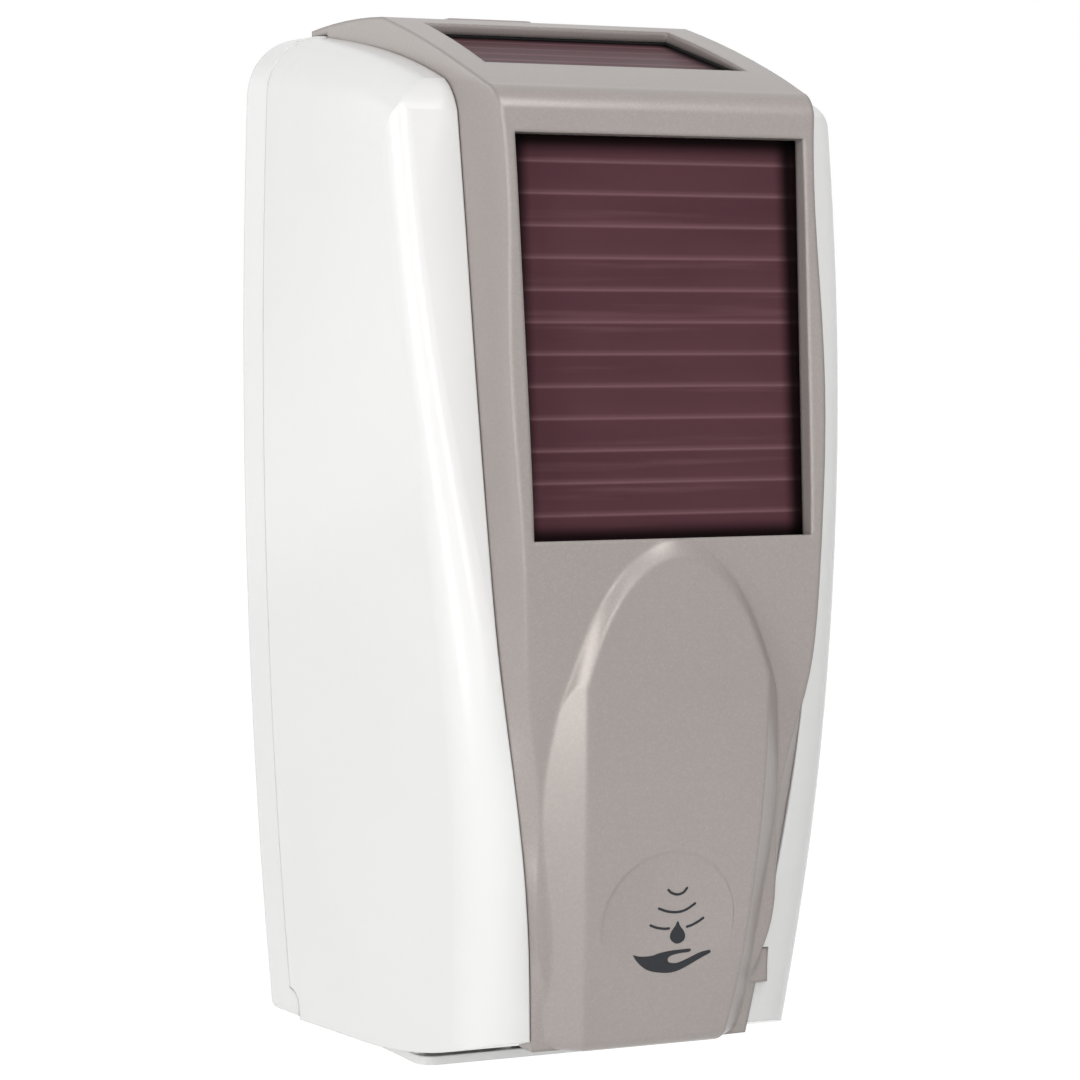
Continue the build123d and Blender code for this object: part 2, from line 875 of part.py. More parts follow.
def coil_spring(x, depth, low, high, coil_radius, wire_radius, turns):
    """A helical spring of the open part, round an upright line."""
    rise = high - low - 2 * wire_radius
    with BuildLine(Plane(origin=(x, -depth, low + wire_radius))) as path:
        Helix(pitch=rise / turns, height=rise, radius=coil_radius)
    with BuildSketch(Plane(origin=path.line @ 0, z_dir=path.line % 0), mode=Mode.PRIVATE) as wire:
        Circle(wire_radius)
    sweep(wire.sketch, path=path.line)


def front_screw(x, z, seat, bite, radius, head_radius, head_height):
    """A screw of the open part driven from the front, its head on the seat."""
    dowel(x, z, seat, seat + head_height, head_radius)
    dowel(x, z, seat - bite, seat + head_height / 2, radius)

# Shell solids that several pieces share
cover_at_tongue = cover_solid(tongue, seam_depth + slip)
panel_middle = panel_solid(panel_wall / 2)
nose_middle = nose_solid(panel_wall / 2)

# Back housing
with BuildPart() as back_housing:
    with BuildSketch(front_plane(0)):
        housing_outline(0, housing_flare)
    with BuildSketch(front_plane(housing_depth)):
        housing_outline(0, 0)
    loft()
    with BuildSketch(front_plane(housing_wall)):
        housing_outline(housing_wall, 0)
    extrude(amount=housing_depth, mode=Mode.SUBTRACT)
    for x in (-screw_spacing_x / 2, screw_spacing_x / 2):
        for z in (-screw_spacing_z / 2, screw_spacing_z / 2):
            dowel(x, z, housing_wall / 2, wall_boss_depth, wall_boss_radius)
            dowel(x, z, -overrun, overrun, wall_screw_radius, Mode.SUBTRACT)
    for side in (-1, 1):
        for z in (chassis_boss_low_z, chassis_boss_high_z):
            dowel(side * chassis_boss_x, z, housing_wall / 2, chassis_back, chassis_boss_radius)
            dowel(side * chassis_boss_x, z, housing_wall, overrun, screw_radius + held_gap, Mode.SUBTRACT)
        left, right = sorted((side * (lug_inner_x - slip), side * (lug_outer_x + slip)))
        slab(
            left, right, hinge_depth - hinge_boss_radius - slip, overrun,
            shell_bottom - overrun, hinge_z, Mode.SUBTRACT,
        )
        axle(hinge_depth, hinge_z, left, right, hinge_boss_radius + slip, Mode.SUBTRACT)
        left, right = sorted((side * ear_inner_x, side * (ear_inner_x + ear_width)))
        slab(
            left, right, housing_wall / 2, hinge_depth,
            hinge_z - hinge_boss_radius, hinge_z + hinge_boss_radius,
        )
        axle(hinge_depth, hinge_z, left, right, hinge_boss_radius)
    with BuildPart(mode=Mode.PRIVATE) as knuckles:
        with BuildSketch(front_plane(housing_wall)):
            housing_outline(0, 0)
        extrude(amount=housing_depth + knuckle_radius)
        axle(hinge_depth, hinge_z, -half_width, half_width, knuckle_radius, Mode.INTERSECT)
        slab(-knuckle_inner_x, knuckle_inner_x, 0, overrun, shell_bottom - overrun, 0, Mode.SUBTRACT)
    add(knuckles.part)
    axle(hinge_depth, hinge_z, -lug_outer_x, lug_outer_x, hinge_pin_radius + held_gap, Mode.SUBTRACT)
    slab(
        -button_half - 2 * slip, button_half + 2 * slip, button_back - slip, overrun,
        button_low - button_travel - slip, shell_top + overrun, Mode.SUBTRACT,
    )
back_housing.part.label = "back_housing"
export_step(back_housing.part, "parts/back_housing.step")

# Hinge pins
with BuildPart() as hinge_pins:
    for side in (-1, 1):
        left, right = sorted((side * (ear_inner_x + slip), side * (lug_outer_x - slip)))
        axle(hinge_depth, hinge_z, left, right, hinge_pin_radius)
hinge_pins.part.label = "hinge_pins"
export_step(hinge_pins.part, "parts/hinge_pins.step")

# Straps across the cover's opening, which step down to pass under the panel
with BuildPart() as straps:
    for half, back, front, low, high in (
        (strap_half, top_strap_back, top_strap_front, 0, shell_top),
        (strap_half, cover_depth / 2, cover_depth, middle_strap_low, middle_strap_low + strap_height),
        (low_strap_half, cover_depth / 2, cover_depth, low_strap_low, low_strap_low + strap_height),
    ):
        slab(-half, half, back, front, low, high)
    add(cover_solid(wall / 2, 0), mode=Mode.INTERSECT)
    add(cover_solid(strap_inset, 0), mode=Mode.SUBTRACT)
    with BuildPart(mode=Mode.PRIVATE) as panel_lane:
        add(seam_solid(2 * slip))
        add(cover_solid(strap_outset, 0), mode=Mode.SUBTRACT)
    add(panel_lane.part, mode=Mode.SUBTRACT)

# Side cover: a shell open at the rear, where the panel lies and under the outlet
with BuildPart() as side_cover:
    add(cover_solid(0, seam_depth))
    add(cover_solid(wall, 0), mode=Mode.SUBTRACT)
    with BuildPart(mode=Mode.PRIVATE) as panel_opening:
        add(seam_solid(seam_gap))
        slab(
            -half_width, half_width, -overrun, chin_back, shell_bottom - overrun, chin_high, Mode.SUBTRACT
        )
        slab(
            -half_width, half_width, 0, 2 * nose_depth, shell_bottom - overrun,
            nose_foot_z - seam_gap, Mode.SUBTRACT,
        )
    add(panel_opening.part, mode=Mode.SUBTRACT)
    add(straps.part)
    slab(
        -outlet_half - outlet_gap, outlet_half + outlet_gap, 0, outlet_opening_front,
        shell_bottom - overrun, hinge_z + hinge_boss_radius, Mode.SUBTRACT,
    )
    slab(
        -half_width, half_width, 0, hinge_depth + hinge_relief, shell_bottom - overrun, hinge_z,
        Mode.SUBTRACT,
    )
    axle(hinge_depth, hinge_z, -half_width, half_width, hinge_relief, Mode.SUBTRACT)
    for side in (-1, 1):
        left, right = sorted((side * lug_inner_x, side * lug_outer_x))
        slab(
            left, right, hinge_depth, hinge_depth + lug_reach,
            hinge_z - hinge_boss_radius, hinge_z + hinge_boss_radius,
        )
        axle(hinge_depth, hinge_z, left, right, hinge_boss_radius)
        axle(hinge_depth, hinge_z, left, right, hinge_pin_radius + running_gap, Mode.SUBTRACT)
        post(side * top_boss_x, top_boss_depth, 0, shell_top, panel_screw_radius + slip, Mode.SUBTRACT)
        post(side * top_boss_x, top_boss_depth, 0, top_seat_z, screw_head_radius + slip, Mode.SUBTRACT)
        for x, z, seat in (
            (middle_boss_x, middle_boss_z, middle_seat_depth),
            (low_boss_x, low_boss_z, low_seat_depth),
        ):
            dowel(side * x, z, 0, cover_depth, panel_screw_radius + slip, Mode.SUBTRACT)
            dowel(side * x, z, 0, seat, screw_head_radius + slip, Mode.SUBTRACT)
    slab(-hook_half - slip, hook_half + slip, 0, hook_front + slip, hook_low, hook_seat, Mode.SUBTRACT)
    slab(0, tab_x + slip, tab_back - slip, nose_depth, tab_low - slip, tab_high + slip, Mode.SUBTRACT)
side_cover.part.label = "side_cover"
export_step(side_cover.part, "parts/side_cover.step")

# Where the retainers of the two solar cells are screwed, in the windows' own planes
windows = (
    (front_window, front_window_sizes, front_recess, front_ear_x, front_ear_reach, "front"),
    (top_window, top_window_sizes, top_recess, top_ear_x, top_ear_reach, "top"),
)


def ear_places(sizes, ear_x, ear_reach):
    """Centres of the four screws round a window."""
    reach = sizes[2] / 2 + ear_reach
    return [(side * ear_x, end * reach) for side in (-1, 1) for end in (-1, 1)]


# Front panel: a hollow fascia with its nose, window frames and screw bosses
with BuildPart() as front_panel:
    add(panel_solid(0))
    add(nose_solid(0))
    add(panel_solid(panel_wall), mode=Mode.SUBTRACT)
    add(nose_solid(panel_wall), mode=Mode.SUBTRACT)
    with BuildPart(mode=Mode.PRIVATE) as ribs:
        for window, sizes, recess, ear_x, ear_reach, _ in windows:
            with BuildSketch(window.offset(-recess)):
                window_face(sizes, window_frame)
            extrude(amount=recess + panel_wall)
            seat = recess + gasket_thickness + cell_thickness
            with BuildSketch(window.offset(-seat)):
                with Locations(*ear_places(sizes, ear_x, ear_reach)):
                    Circle(cell_boss_radius)
            extrude(amount=seat + 2 * panel_wall)
        for side in (-1, 1):
            post(side * top_boss_x, top_boss_depth, top_seat_z, 2 * shell_top, panel_boss_radius)
            for x, z, seat in (
                (middle_boss_x, middle_boss_z, middle_seat_depth),
                (low_boss_x, low_boss_z, low_seat_depth),
            ):
                dowel(side * x, z, seat, 2 * nose_depth, panel_boss_radius)
        with BuildPart(mode=Mode.PRIVATE) as form:
            add(panel_middle)
            add(nose_middle)
        add(form.part, mode=Mode.INTERSECT)
    add(ribs.part)
    slab(0, tab_x, tab_back, tab_front, tab_low, tab_high)
    add(cover_at_tongue, mode=Mode.SUBTRACT)
    slab(
        -half_width, half_width, -overrun, seam_depth + slip, shell_bottom - overrun, strip_low,
        Mode.SUBTRACT,
    )
    slab(
        -half_width, half_width, 0, chin_back + seam_gap, shell_bottom - overrun, chin_high, Mode.SUBTRACT
    )
    for window, sizes, recess, ear_x, ear_reach, _ in windows:
        with BuildSketch(window.offset(-recess - panel_wall)):
            window_face(sizes, 0)
        extrude(amount=recess + 3 * panel_wall, mode=Mode.SUBTRACT)
        with BuildSketch(window.offset(-recess)):
            window_face(sizes, cell_margin + slip)
        seat = recess + gasket_thickness + cell_thickness
        extrude(amount=recess - seat - retainer_thickness - slip, mode=Mode.SUBTRACT)
        with BuildSketch(window.offset(-seat)):
            with Locations(*ear_places(sizes, ear_x, ear_reach)):
                Circle(cell_screw_radius + held_gap)
        extrude(amount=cell_screw_bite, mode=Mode.SUBTRACT)
    add(dish_ball(), mode=Mode.SUBTRACT)
    slab(
        -button_half - 2 * slip, button_half + 2 * slip, -overrun, button_front + slip,
        shell_top - crown_radius, 2 * shell_top, Mode.SUBTRACT,
    )
    for side in (-1, 1):
        post(
            side * top_boss_x, top_boss_depth, top_seat_z, top_seat_z + panel_screw_bite + wall,
            panel_screw_radius + held_gap, Mode.SUBTRACT,
        )
        for x, z, seat in (
            (middle_boss_x, middle_boss_z, middle_seat_depth),
            (low_boss_x, low_boss_z, low_seat_depth),
        ):
            dowel(
                side * x, z, seat, seat + panel_screw_bite + 2 * wall, panel_screw_radius + held_gap,
                Mode.SUBTRACT,
            )
front_panel.part.label = "front_panel"
export_step(front_panel.part, "parts/front_panel.step")

# Screws from the straps into the panel
with BuildPart() as panel_screws:
    for side in (-1, 1):
        x = side * top_boss_x
        post(x, top_boss_depth, top_seat_z - screw_head_height, top_seat_z, screw_head_radius)
        post(x, top_boss_depth, top_seat_z, top_seat_z + panel_screw_bite, panel_screw_radius)
        for x, z, seat in (
            (middle_boss_x, middle_boss_z, middle_seat_depth),
            (low_boss_x, low_boss_z, low_seat_depth),
        ):
            dowel(side * x, z, seat - screw_head_height, seat, screw_head_radius)
            dowel(side * x, z, seat, seat + panel_screw_bite + wall, panel_screw_radius)
panel_screws.part.label = "panel_screws"
export_step(panel_screws.part, "parts/panel_screws.step")

# Solar cells with their gaskets, retainers and screws
for window, sizes, recess, ear_x, ear_reach, name in windows:
    cell_front = recess + gasket_thickness
    seat = cell_front + cell_thickness
    places = ear_places(sizes, ear_x, ear_reach)

    with BuildPart() as gasket:
        with BuildSketch(window.offset(-cell_front)):
            window_face(sizes, cell_margin)
        extrude(amount=gasket_thickness)
        with BuildSketch(window.offset(-cell_front)):
            window_face(sizes, slip)
        extrude(amount=gasket_thickness, mode=Mode.SUBTRACT)
    gasket.part.label = name + "_cell_gasket"
    export_step(gasket.part, f"parts/{name}_cell_gasket.step")

    with BuildPart() as cell:
        with BuildSketch(window.offset(-seat)):
            window_face(sizes, cell_margin)
        extrude(amount=cell_thickness)
    cell.part.label = name + "_solar_cell"
    export_step(cell.part, f"parts/{name}_solar_cell.step")

    with BuildPart() as retainer:
        with BuildSketch(window.offset(-seat - retainer_thickness)):
            window_face(sizes, cell_margin)
            with Locations(*places):
                Circle(cell_ear_radius)
            for x, y in places:
                with Locations((x, y - math.copysign(ear_reach, y) / 2)):
                    Rectangle(2 * cell_ear_radius, ear_reach)
        extrude(amount=retainer_thickness)
        with BuildSketch(window.offset(-seat - retainer_thickness)):
            window_face(sizes, -retainer_rim)
            with Locations(*places):
                Circle(cell_screw_radius + slip)
        extrude(amount=retainer_thickness, mode=Mode.SUBTRACT)
    retainer.part.label = name + "_cell_retainer"
    export_step(retainer.part, f"parts/{name}_cell_retainer.step")

    with BuildPart() as cell_screws:
        with BuildSketch(window.offset(-seat - retainer_thickness)):
            with Locations(*places):
                Circle(cell_head_radius)
        extrude(amount=-cell_head_height)
        with BuildSketch(window.offset(-seat - retainer_thickness)):
            with Locations(*places):
                Circle(cell_screw_radius)
        extrude(amount=retainer_thickness + cell_screw_bite)
    cell_screws.part.label = name + "_cell_screws"
    export_step(cell_screws.part, f"parts/{name}_cell_screws.step")

# Latch hook under the top strap
with BuildPart() as latch_hook:
    slab(-hook_half, hook_half, hook_back, hook_front, hook_low, hook_seat - held_gap)
    slab(-hook_half, hook_half, barb_back, hook_back, hook_low, hook_low + barb_height)
latch_hook.part.label = "latch_hook"
export_step(latch_hook.part, "parts/latch_hook.step")

# Chassis plate with its shelf for the refill
board_screw_places = [
    (x, z)
    for x in (board_left + board_inset, board_right - board_inset)
    for z in (board_low + board_inset, board_high - board_inset)
]
chassis_screw_places = [
    (side * chassis_boss_x, z) for side in (-1, 1) for z in (chassis_boss_low_z, chassis_boss_high_z)
]
case_column_places = [
    (x, z)
    for x in (case_left + case_column, case_right - case_column)
    for z in (case_low + case_column, case_high - case_column)
]
with BuildPart() as chassis:
    slab(-chassis_half, chassis_half, chassis_back, chassis_front, chassis_low, chassis_top)
    slab(-vent_half, vent_half, 0, overrun, vent_low_z, vent_high_z, Mode.SUBTRACT)
    slab(-vent_half, vent_half, 0, overrun, low_vent_low_z, low_vent_high_z, Mode.SUBTRACT)
    slab(-shelf_half, shelf_half, chassis_back, shelf_front, shelf_low, shelf_top)
    for side in (-1, 1):
        left, right = sorted((side * shelf_half, side * (shelf_half - shelf_rail)))
        slab(left, right, chassis_back, shelf_front, shelf_low, shelf_rail_top)
    post(0, neck_depth, shelf_low, shelf_top, pump_radius + 2 * slip, Mode.SUBTRACT)
    slab(
        -pump_radius - 2 * slip, pump_radius + 2 * slip, neck_depth, shelf_front + overrun,
        shelf_low, shelf_top, Mode.SUBTRACT,
    )
    for x, z in board_screw_places:
        dowel(x, z, chassis_back, board_back, board_inset)
        dowel(x, z, 0, board_back, screw_radius + held_gap, Mode.SUBTRACT)
    for x, z in chassis_screw_places:
        dowel(x, z, 0, chassis_front, screw_radius + slip, Mode.SUBTRACT)
    for x, z in case_column_places:
        dowel(x, z, 0, chassis_front, case_screw_radius + held_gap, Mode.SUBTRACT)
    for x, z in (
        (-outlet_screw_x, outlet_screw_z),
        (outlet_screw_x, outlet_screw_z),
        (-battery_ear_x, battery_screw_z),
        (battery_ear_x, battery_screw_z),
        (cover_post_x, cover_post_z),
    ):
        dowel(x, z, 0, chassis_front, screw_radius + held_gap, Mode.SUBTRACT)
chassis.part.label = "chassis"
export_step(chassis.part, "parts/chassis.step")

# Chassis screws
with BuildPart() as chassis_screws:
    for x, z in chassis_screw_places:
        front_screw(x, z, chassis_front, screw_bite, screw_radius, screw_head_radius, screw_head_height)
chassis_screws.part.label = "chassis_screws"
export_step(chassis_screws.part, "parts/chassis_screws.step")


def bottle_form(inset):
    """The refill bottle's form, drawn in by inset all round."""
    with BuildPart() as form:
        with BuildSketch(Plane.XY.offset(bottle_shoulder)):
            with Locations((0, -(bottle_back + bottle_front) / 2)):
                RectangleRounded(
                    2 * (bottle_half - inset), bottle_front - bottle_back - 2 * inset, bottle_corner - inset
                )
        extrude(amount=bottle_top - inset - bottle_shoulder)
        fillet(form.faces().sort_by(Axis.Z)[-1].edges(), radius=bottle_round - inset)
        with BuildSketch(Plane.XY.offset(bottle_shoulder)):
            with Locations((0, -(bottle_back + bottle_front) / 2)):
                RectangleRounded(
                    2 * (bottle_half - inset), bottle_front - bottle_back - 2 * inset, bottle_corner - inset
                )
        with BuildSketch(Plane.XY.offset(bottle_throat + inset)):
            with Locations((0, -neck_depth)):
                RectangleRounded(
                    2 * (bottle_throat_half - inset), 2 * (bottle_throat_reach - inset), bottle_corner - inset
                )
        loft(ruled=True)
        post(0, neck_depth, neck_low, bottle_throat + inset, neck_radius - inset)
    return form.part


# Refill bottle
with BuildPart() as refill_bottle:
    add(bottle_form(0))
    add(bottle_form(bottle_wall), mode=Mode.SUBTRACT)
refill_bottle.part.label = "refill_bottle"
export_step(refill_bottle.part, "parts/refill_bottle.step")

# Refill cap
with BuildPart() as refill_cap:
    post(0, neck_depth, shelf_top, cap_top, cap_radius)
    post(0, neck_depth, shelf_top + cap_floor, cap_top, neck_radius + slip, Mode.SUBTRACT)
    post(0, neck_depth, shelf_top, cap_top, pump_radius + slip, Mode.SUBTRACT)
refill_cap.part.label = "refill_cap"
export_step(refill_cap.part, "parts/refill_cap.step")

# Pump body
with BuildPart() as pump_body:
    flange_low = shelf_top + cap_floor
    post(0, neck_depth, pump_low, flange_low + pump_flange_thickness, pump_radius)
    post(0, neck_depth, flange_low, flange_low + pump_flange_thickness, pump_flange_radius)
    post(0, neck_depth, pump_low, chamber_top, piston_radius + piston_gap, Mode.SUBTRACT)
    post(0, neck_depth, pump_low, neck_low, inlet_radius, Mode.SUBTRACT)
pump_body.part.label = "pump_body"
export_step(pump_body.part, "parts/pump_body.step")

# Pump nozzle: hollow piston, flange and spout
with BuildPart() as pump_nozzle:
    post(0, neck_depth, flange_top, piston_top, piston_radius)
    post(0, neck_depth, flange_top - flange_thickness, flange_top, flange_radius)
    post(0, neck_depth, spout_low, flange_top - flange_thickness, spout_radius)
    post(0, neck_depth, spout_low, piston_top, spout_bore, Mode.SUBTRACT)
pump_nozzle.part.label = "pump_nozzle"
export_step(pump_nozzle.part, "parts/pump_nozzle.step")

# Pump return spring
with BuildPart() as pump_spring:
    coil_spring(
        0, neck_depth, flange_top + running_gap, pump_low - running_gap,
        pump_coil_radius, pump_wire, pump_turns,
    )
pump_spring.part.label = "pump_spring"
export_step(pump_spring.part, "parts/pump_spring.step")

# Pump lifter: a fork under the nozzle's flange and the rack that raises it
with BuildPart() as pump_lifter:
    slab(fork_left, rack_root_x, fork_back, fork_front, fork_low, fork_high)
    slab(rack_root_x - rack_width, rack_root_x, rack_back, fork_front, fork_low, fork_high)
    slab(rack_root_x - rack_width, rack_root_x, rack_back, rack_front, fork_low, rack_top)
    post(0, neck_depth, fork_low, fork_high, fork_slot_half, Mode.SUBTRACT)
    slab(
        -fork_slot_half, fork_slot_half, neck_depth, fork_front, fork_low, fork_high, Mode.SUBTRACT
    )
    rack_pitch = math.pi * gear_module
    tooth_half = rack_pitch / 4 - tooth_backlash / 2
    tip_half = tooth_half - addendum * math.tan(pressure_angle)
    root_half = tooth_half + dedendum * math.tan(pressure_angle)
    with BuildSketch(front_plane(rack_back)):
        for step in range(-rack_teeth_below, rack_teeth_above):
            tooth_z = output_z + (step + 0.5) * rack_pitch
            with BuildLine():
                Polyline(
                    (rack_root_x - dedendum, tooth_z - root_half),
                    (rack_root_x, tooth_z - root_half),
                    (rack_pitch_x + addendum, tooth_z - tip_half),
                    (rack_pitch_x + addendum, tooth_z + tip_half),
                    (rack_root_x, tooth_z + root_half),
                    (rack_root_x - dedendum, tooth_z + root_half),
                    close=True,
                )
            make_face()
    extrude(amount=rack_front - rack_back)
pump_lifter.part.label = "pump_lifter"
export_step(pump_lifter.part, "parts/pump_lifter.step")

# Output gear: a pinion on the rack with a wheel in front
with BuildPart() as output_gear:
    gear_disc(output_x, output_z, rack_back, second_layer_back, pinion_teeth, math.pi)
    gear_disc(output_x, output_z, second_layer_back, second_layer_front, wheel_teeth, middle_turn)
    dowel(output_x, output_z, second_layer_front, case_front - slip, pitch_pinion / 2)
    dowel(output_x, output_z, 0, nose_depth, arbor_radius + running_gap, Mode.SUBTRACT)
output_gear.part.label = "output_gear"
export_step(output_gear.part, "parts/output_gear.step")

# Middle gear: a pinion in the second layer and a wheel in the third
with BuildPart() as middle_gear:
    half_tooth_turn = math.pi / pinion_teeth
    dowel(middle_x, middle_z, rack_back, second_layer_back, pitch_pinion / 2)
    gear_disc(
        middle_x, middle_z, second_layer_back, third_layer_back, pinion_teeth,
        middle_turn + math.pi + half_tooth_turn,
    )
    gear_disc(middle_x, middle_z, third_layer_back, third_layer_front, wheel_teeth, motor_turn)
    dowel(middle_x, middle_z, 0, nose_depth, arbor_radius + running_gap, Mode.SUBTRACT)
middle_gear.part.label = "middle_gear"
export_step(middle_gear.part, "parts/middle_gear.step")

# Motor pinion on its shaft
with BuildPart() as motor_pinion:
    gear_disc(
        motor_x, motor_z, third_layer_back, third_layer_front, pinion_teeth,
        motor_turn + math.pi + half_tooth_turn,
    )
    dowel(motor_x, motor_z, third_layer_back, case_front + case_plate + motor_length / 2, motor_shaft_radius)
motor_pinion.part.label = "motor_pinion"
export_step(motor_pinion.part, "parts/motor_pinion.step")

# Gear arbors
arbor_places = [(output_x, output_z), (middle_x, middle_z)]
with BuildPart() as gear_arbors:
    for x, z in arbor_places:
        dowel(x, z, case_back + case_plate / 2, case_front + case_plate / 2, arbor_radius)
gear_arbors.part.label = "gear_arbors"
export_step(gear_arbors.part, "parts/gear_arbors.step")

# Gear case base: back plate, rim, corner columns and their feet on the chassis
with BuildPart() as gear_case_base:
    slab(case_left, case_right, case_back, case_front, case_low, case_high)
    slab(
        case_left + case_wall, case_right - case_wall, case_back + case_plate, case_front,
        case_low + case_wall, case_high - case_wall, Mode.SUBTRACT,
    )
    for x, z in case_column_places:
        dowel(x, z, chassis_front, case_front, case_column)
        dowel(x, z, 0, case_front, case_screw_radius + held_gap, Mode.SUBTRACT)
    for x, z in arbor_places:
        dowel(x, z, case_back + case_plate / 2, case_front, arbor_radius + held_gap, Mode.SUBTRACT)
    slab(
        rack_root_x - rack_width - slip, rack_pitch_x + addendum + slip,
        rack_back - slip, rack_front + slip, case_low, case_low + case_wall, Mode.SUBTRACT,
    )
gear_case_base.part.label = "gear_case_base"
export_step(gear_case_base.part, "parts/gear_case_base.step")

# Gear case cover with the motor's collar
with BuildPart() as gear_case_cover:
    slab(case_left, case_right, case_front, case_front + case_plate, case_low, case_high)
    dowel(
        motor_x, motor_z, case_front, case_front + case_plate + motor_collar_length,
        motor_radius + motor_collar,
    )
    dowel(
        motor_x, motor_z, case_front + case_plate, case_front + case_plate + motor_collar_length,
        motor_radius + held_gap, Mode.SUBTRACT,
    )
    dowel(motor_x, motor_z, 0, nose_depth, pitch_pinion, Mode.SUBTRACT)
    for x, z in arbor_places:
        dowel(x, z, 0, case_front + case_plate / 2, arbor_radius + held_gap, Mode.SUBTRACT)
    for x, z in case_column_places:
        dowel(x, z, 0, nose_depth, case_screw_radius + held_gap, Mode.SUBTRACT)
gear_case_cover.part.label = "gear_case_cover"
export_step(gear_case_cover.part, "parts/gear_case_cover.step")

# Gear case screws
with BuildPart() as gear_case_screws:
    for x, z in case_column_places:
        front_screw(
            x, z, case_front + case_plate, case_front + case_plate - chassis_back,
            case_screw_radius, cell_head_radius, screw_head_height,
        )
gear_case_screws.part.label = "gear_case_screws"
export_step(gear_case_screws.part, "parts/gear_case_screws.step")

# Motor
with BuildPart() as motor:
    motor_back = case_front + case_plate
    dowel(motor_x, motor_z, motor_back, motor_back + motor_length, motor_radius)
    dowel(
        motor_x, motor_z, 0, motor_back + motor_length * 2 / 3, motor_shaft_radius + running_gap,
        Mode.SUBTRACT,
    )
motor.part.label = "motor"
export_step(motor.part, "parts/motor.step")

# Control board
with BuildPart() as control_board:
    slab(board_left, board_right, board_back, board_front, board_low, board_high)
    for x, z in board_screw_places:
        dowel(x, z, 0, nose_depth, screw_radius + slip, Mode.SUBTRACT)
    dowel(cover_post_x, cover_post_z, 0, nose_depth, cover_post_radius + slip, Mode.SUBTRACT)
control_board.part.label = "control_board"
export_step(control_board.part, "parts/control_board.step")

# Board screws, and the longer one that holds the board's cover
with BuildPart() as board_screws:
    for x, z in board_screw_places:
        front_screw(
            x, z, board_front, board_front - chassis_back, screw_radius, screw_head_radius, screw_head_height
        )
    front_screw(
        cover_post_x, cover_post_z, board_cover_front, board_cover_front - chassis_back,
        screw_radius, screw_head_radius, screw_head_height,
    )
board_screws.part.label = "board_screws"
export_step(board_screws.part, "parts/board_screws.step")

# Control chip
with BuildPart() as control_chip:
    slab(
        chip_x - chip_size / 2, chip_x + chip_size / 2, board_front, board_front + chip_height,
        chip_z - chip_size / 2, chip_z + chip_size / 2,
    )
control_chip.part.label = "control_chip"
export_step(control_chip.part, "parts/control_chip.step")

# Capacitors
with BuildPart() as capacitors:
    for step in (-1, 0, 1):
        dowel(
            capacitor_x, capacitor_z + step * capacitor_pitch, board_front, board_front + capacitor_length,
            capacitor_radius,
        )
capacitors.part.label = "capacitors"
export_step(capacitors.part, "parts/capacitors.step")

# Plug connector
with BuildPart() as board_connector:
    slab(
        connector_x - connector_width / 2, connector_x + connector_width / 2,
        board_front, board_front + connector_depth,
        connector_z - connector_height / 2, connector_z + connector_height / 2,
    )
    slab(
        connector_x - connector_width / 2 + held_gap + slip, connector_x + connector_width / 2 - slip,
        board_front + connector_depth / 3, board_front + connector_depth,
        connector_z - connector_height / 2 + slip, connector_z + connector_height / 2 - slip, Mode.SUBTRACT,
    )
board_connector.part.label = "board_connector"
export_step(board_connector.part, "parts/board_connector.step")

# Dose switch: its body on the board and the slider above it
with BuildPart() as switch_body:
    slab(
        switch_x - switch_width / 2, switch_x + switch_width / 2, board_front, board_front + switch_depth,
        switch_z - switch_height / 2, switch_z + switch_height / 2,
    )
switch_body.part.label = "switch_body"
export_step(switch_body.part, "parts/switch_body.step")

with BuildPart() as dose_switch:
    slider_left = switch_x - slider_travel / 2 - slider_width / 2
    slab(
        slider_left, slider_left + slider_width, board_front + switch_depth + slip, slider_front,
        switch_z - slider_width / 2, switch_z + slider_width / 2,
    )
dose_switch.part.label = "dose_switch"
export_step(dose_switch.part, "parts/dose_switch.step")

# Board cover
with BuildPart() as board_cover:
    slab(
        board_cover_left, board_cover_right, chassis_front, board_cover_front,
        board_cover_low, board_cover_high,
    )
    slab(
        board_cover_left + board_cover_wall, board_cover_right - board_cover_wall,
        chassis_front, board_cover_front - board_cover_wall,
        board_cover_low + board_cover_wall, board_cover_high - board_cover_wall, Mode.SUBTRACT,
    )
    dowel(cover_post_x, cover_post_z, chassis_front, board_cover_front, cover_post_radius)
    dowel(cover_post_x, cover_post_z, 0, nose_depth, screw_radius + held_gap, Mode.SUBTRACT)
    slab(
        slider_left - slip, slider_left + slider_width + slider_travel + slip,
        board_cover_front - 2 * board_cover_wall, nose_depth,
        switch_z - slider_width / 2 - slip, switch_z + slider_width / 2 + slip, Mode.SUBTRACT,
    )
board_cover.part.label = "board_cover"
export_step(board_cover.part, "parts/board_cover.step")

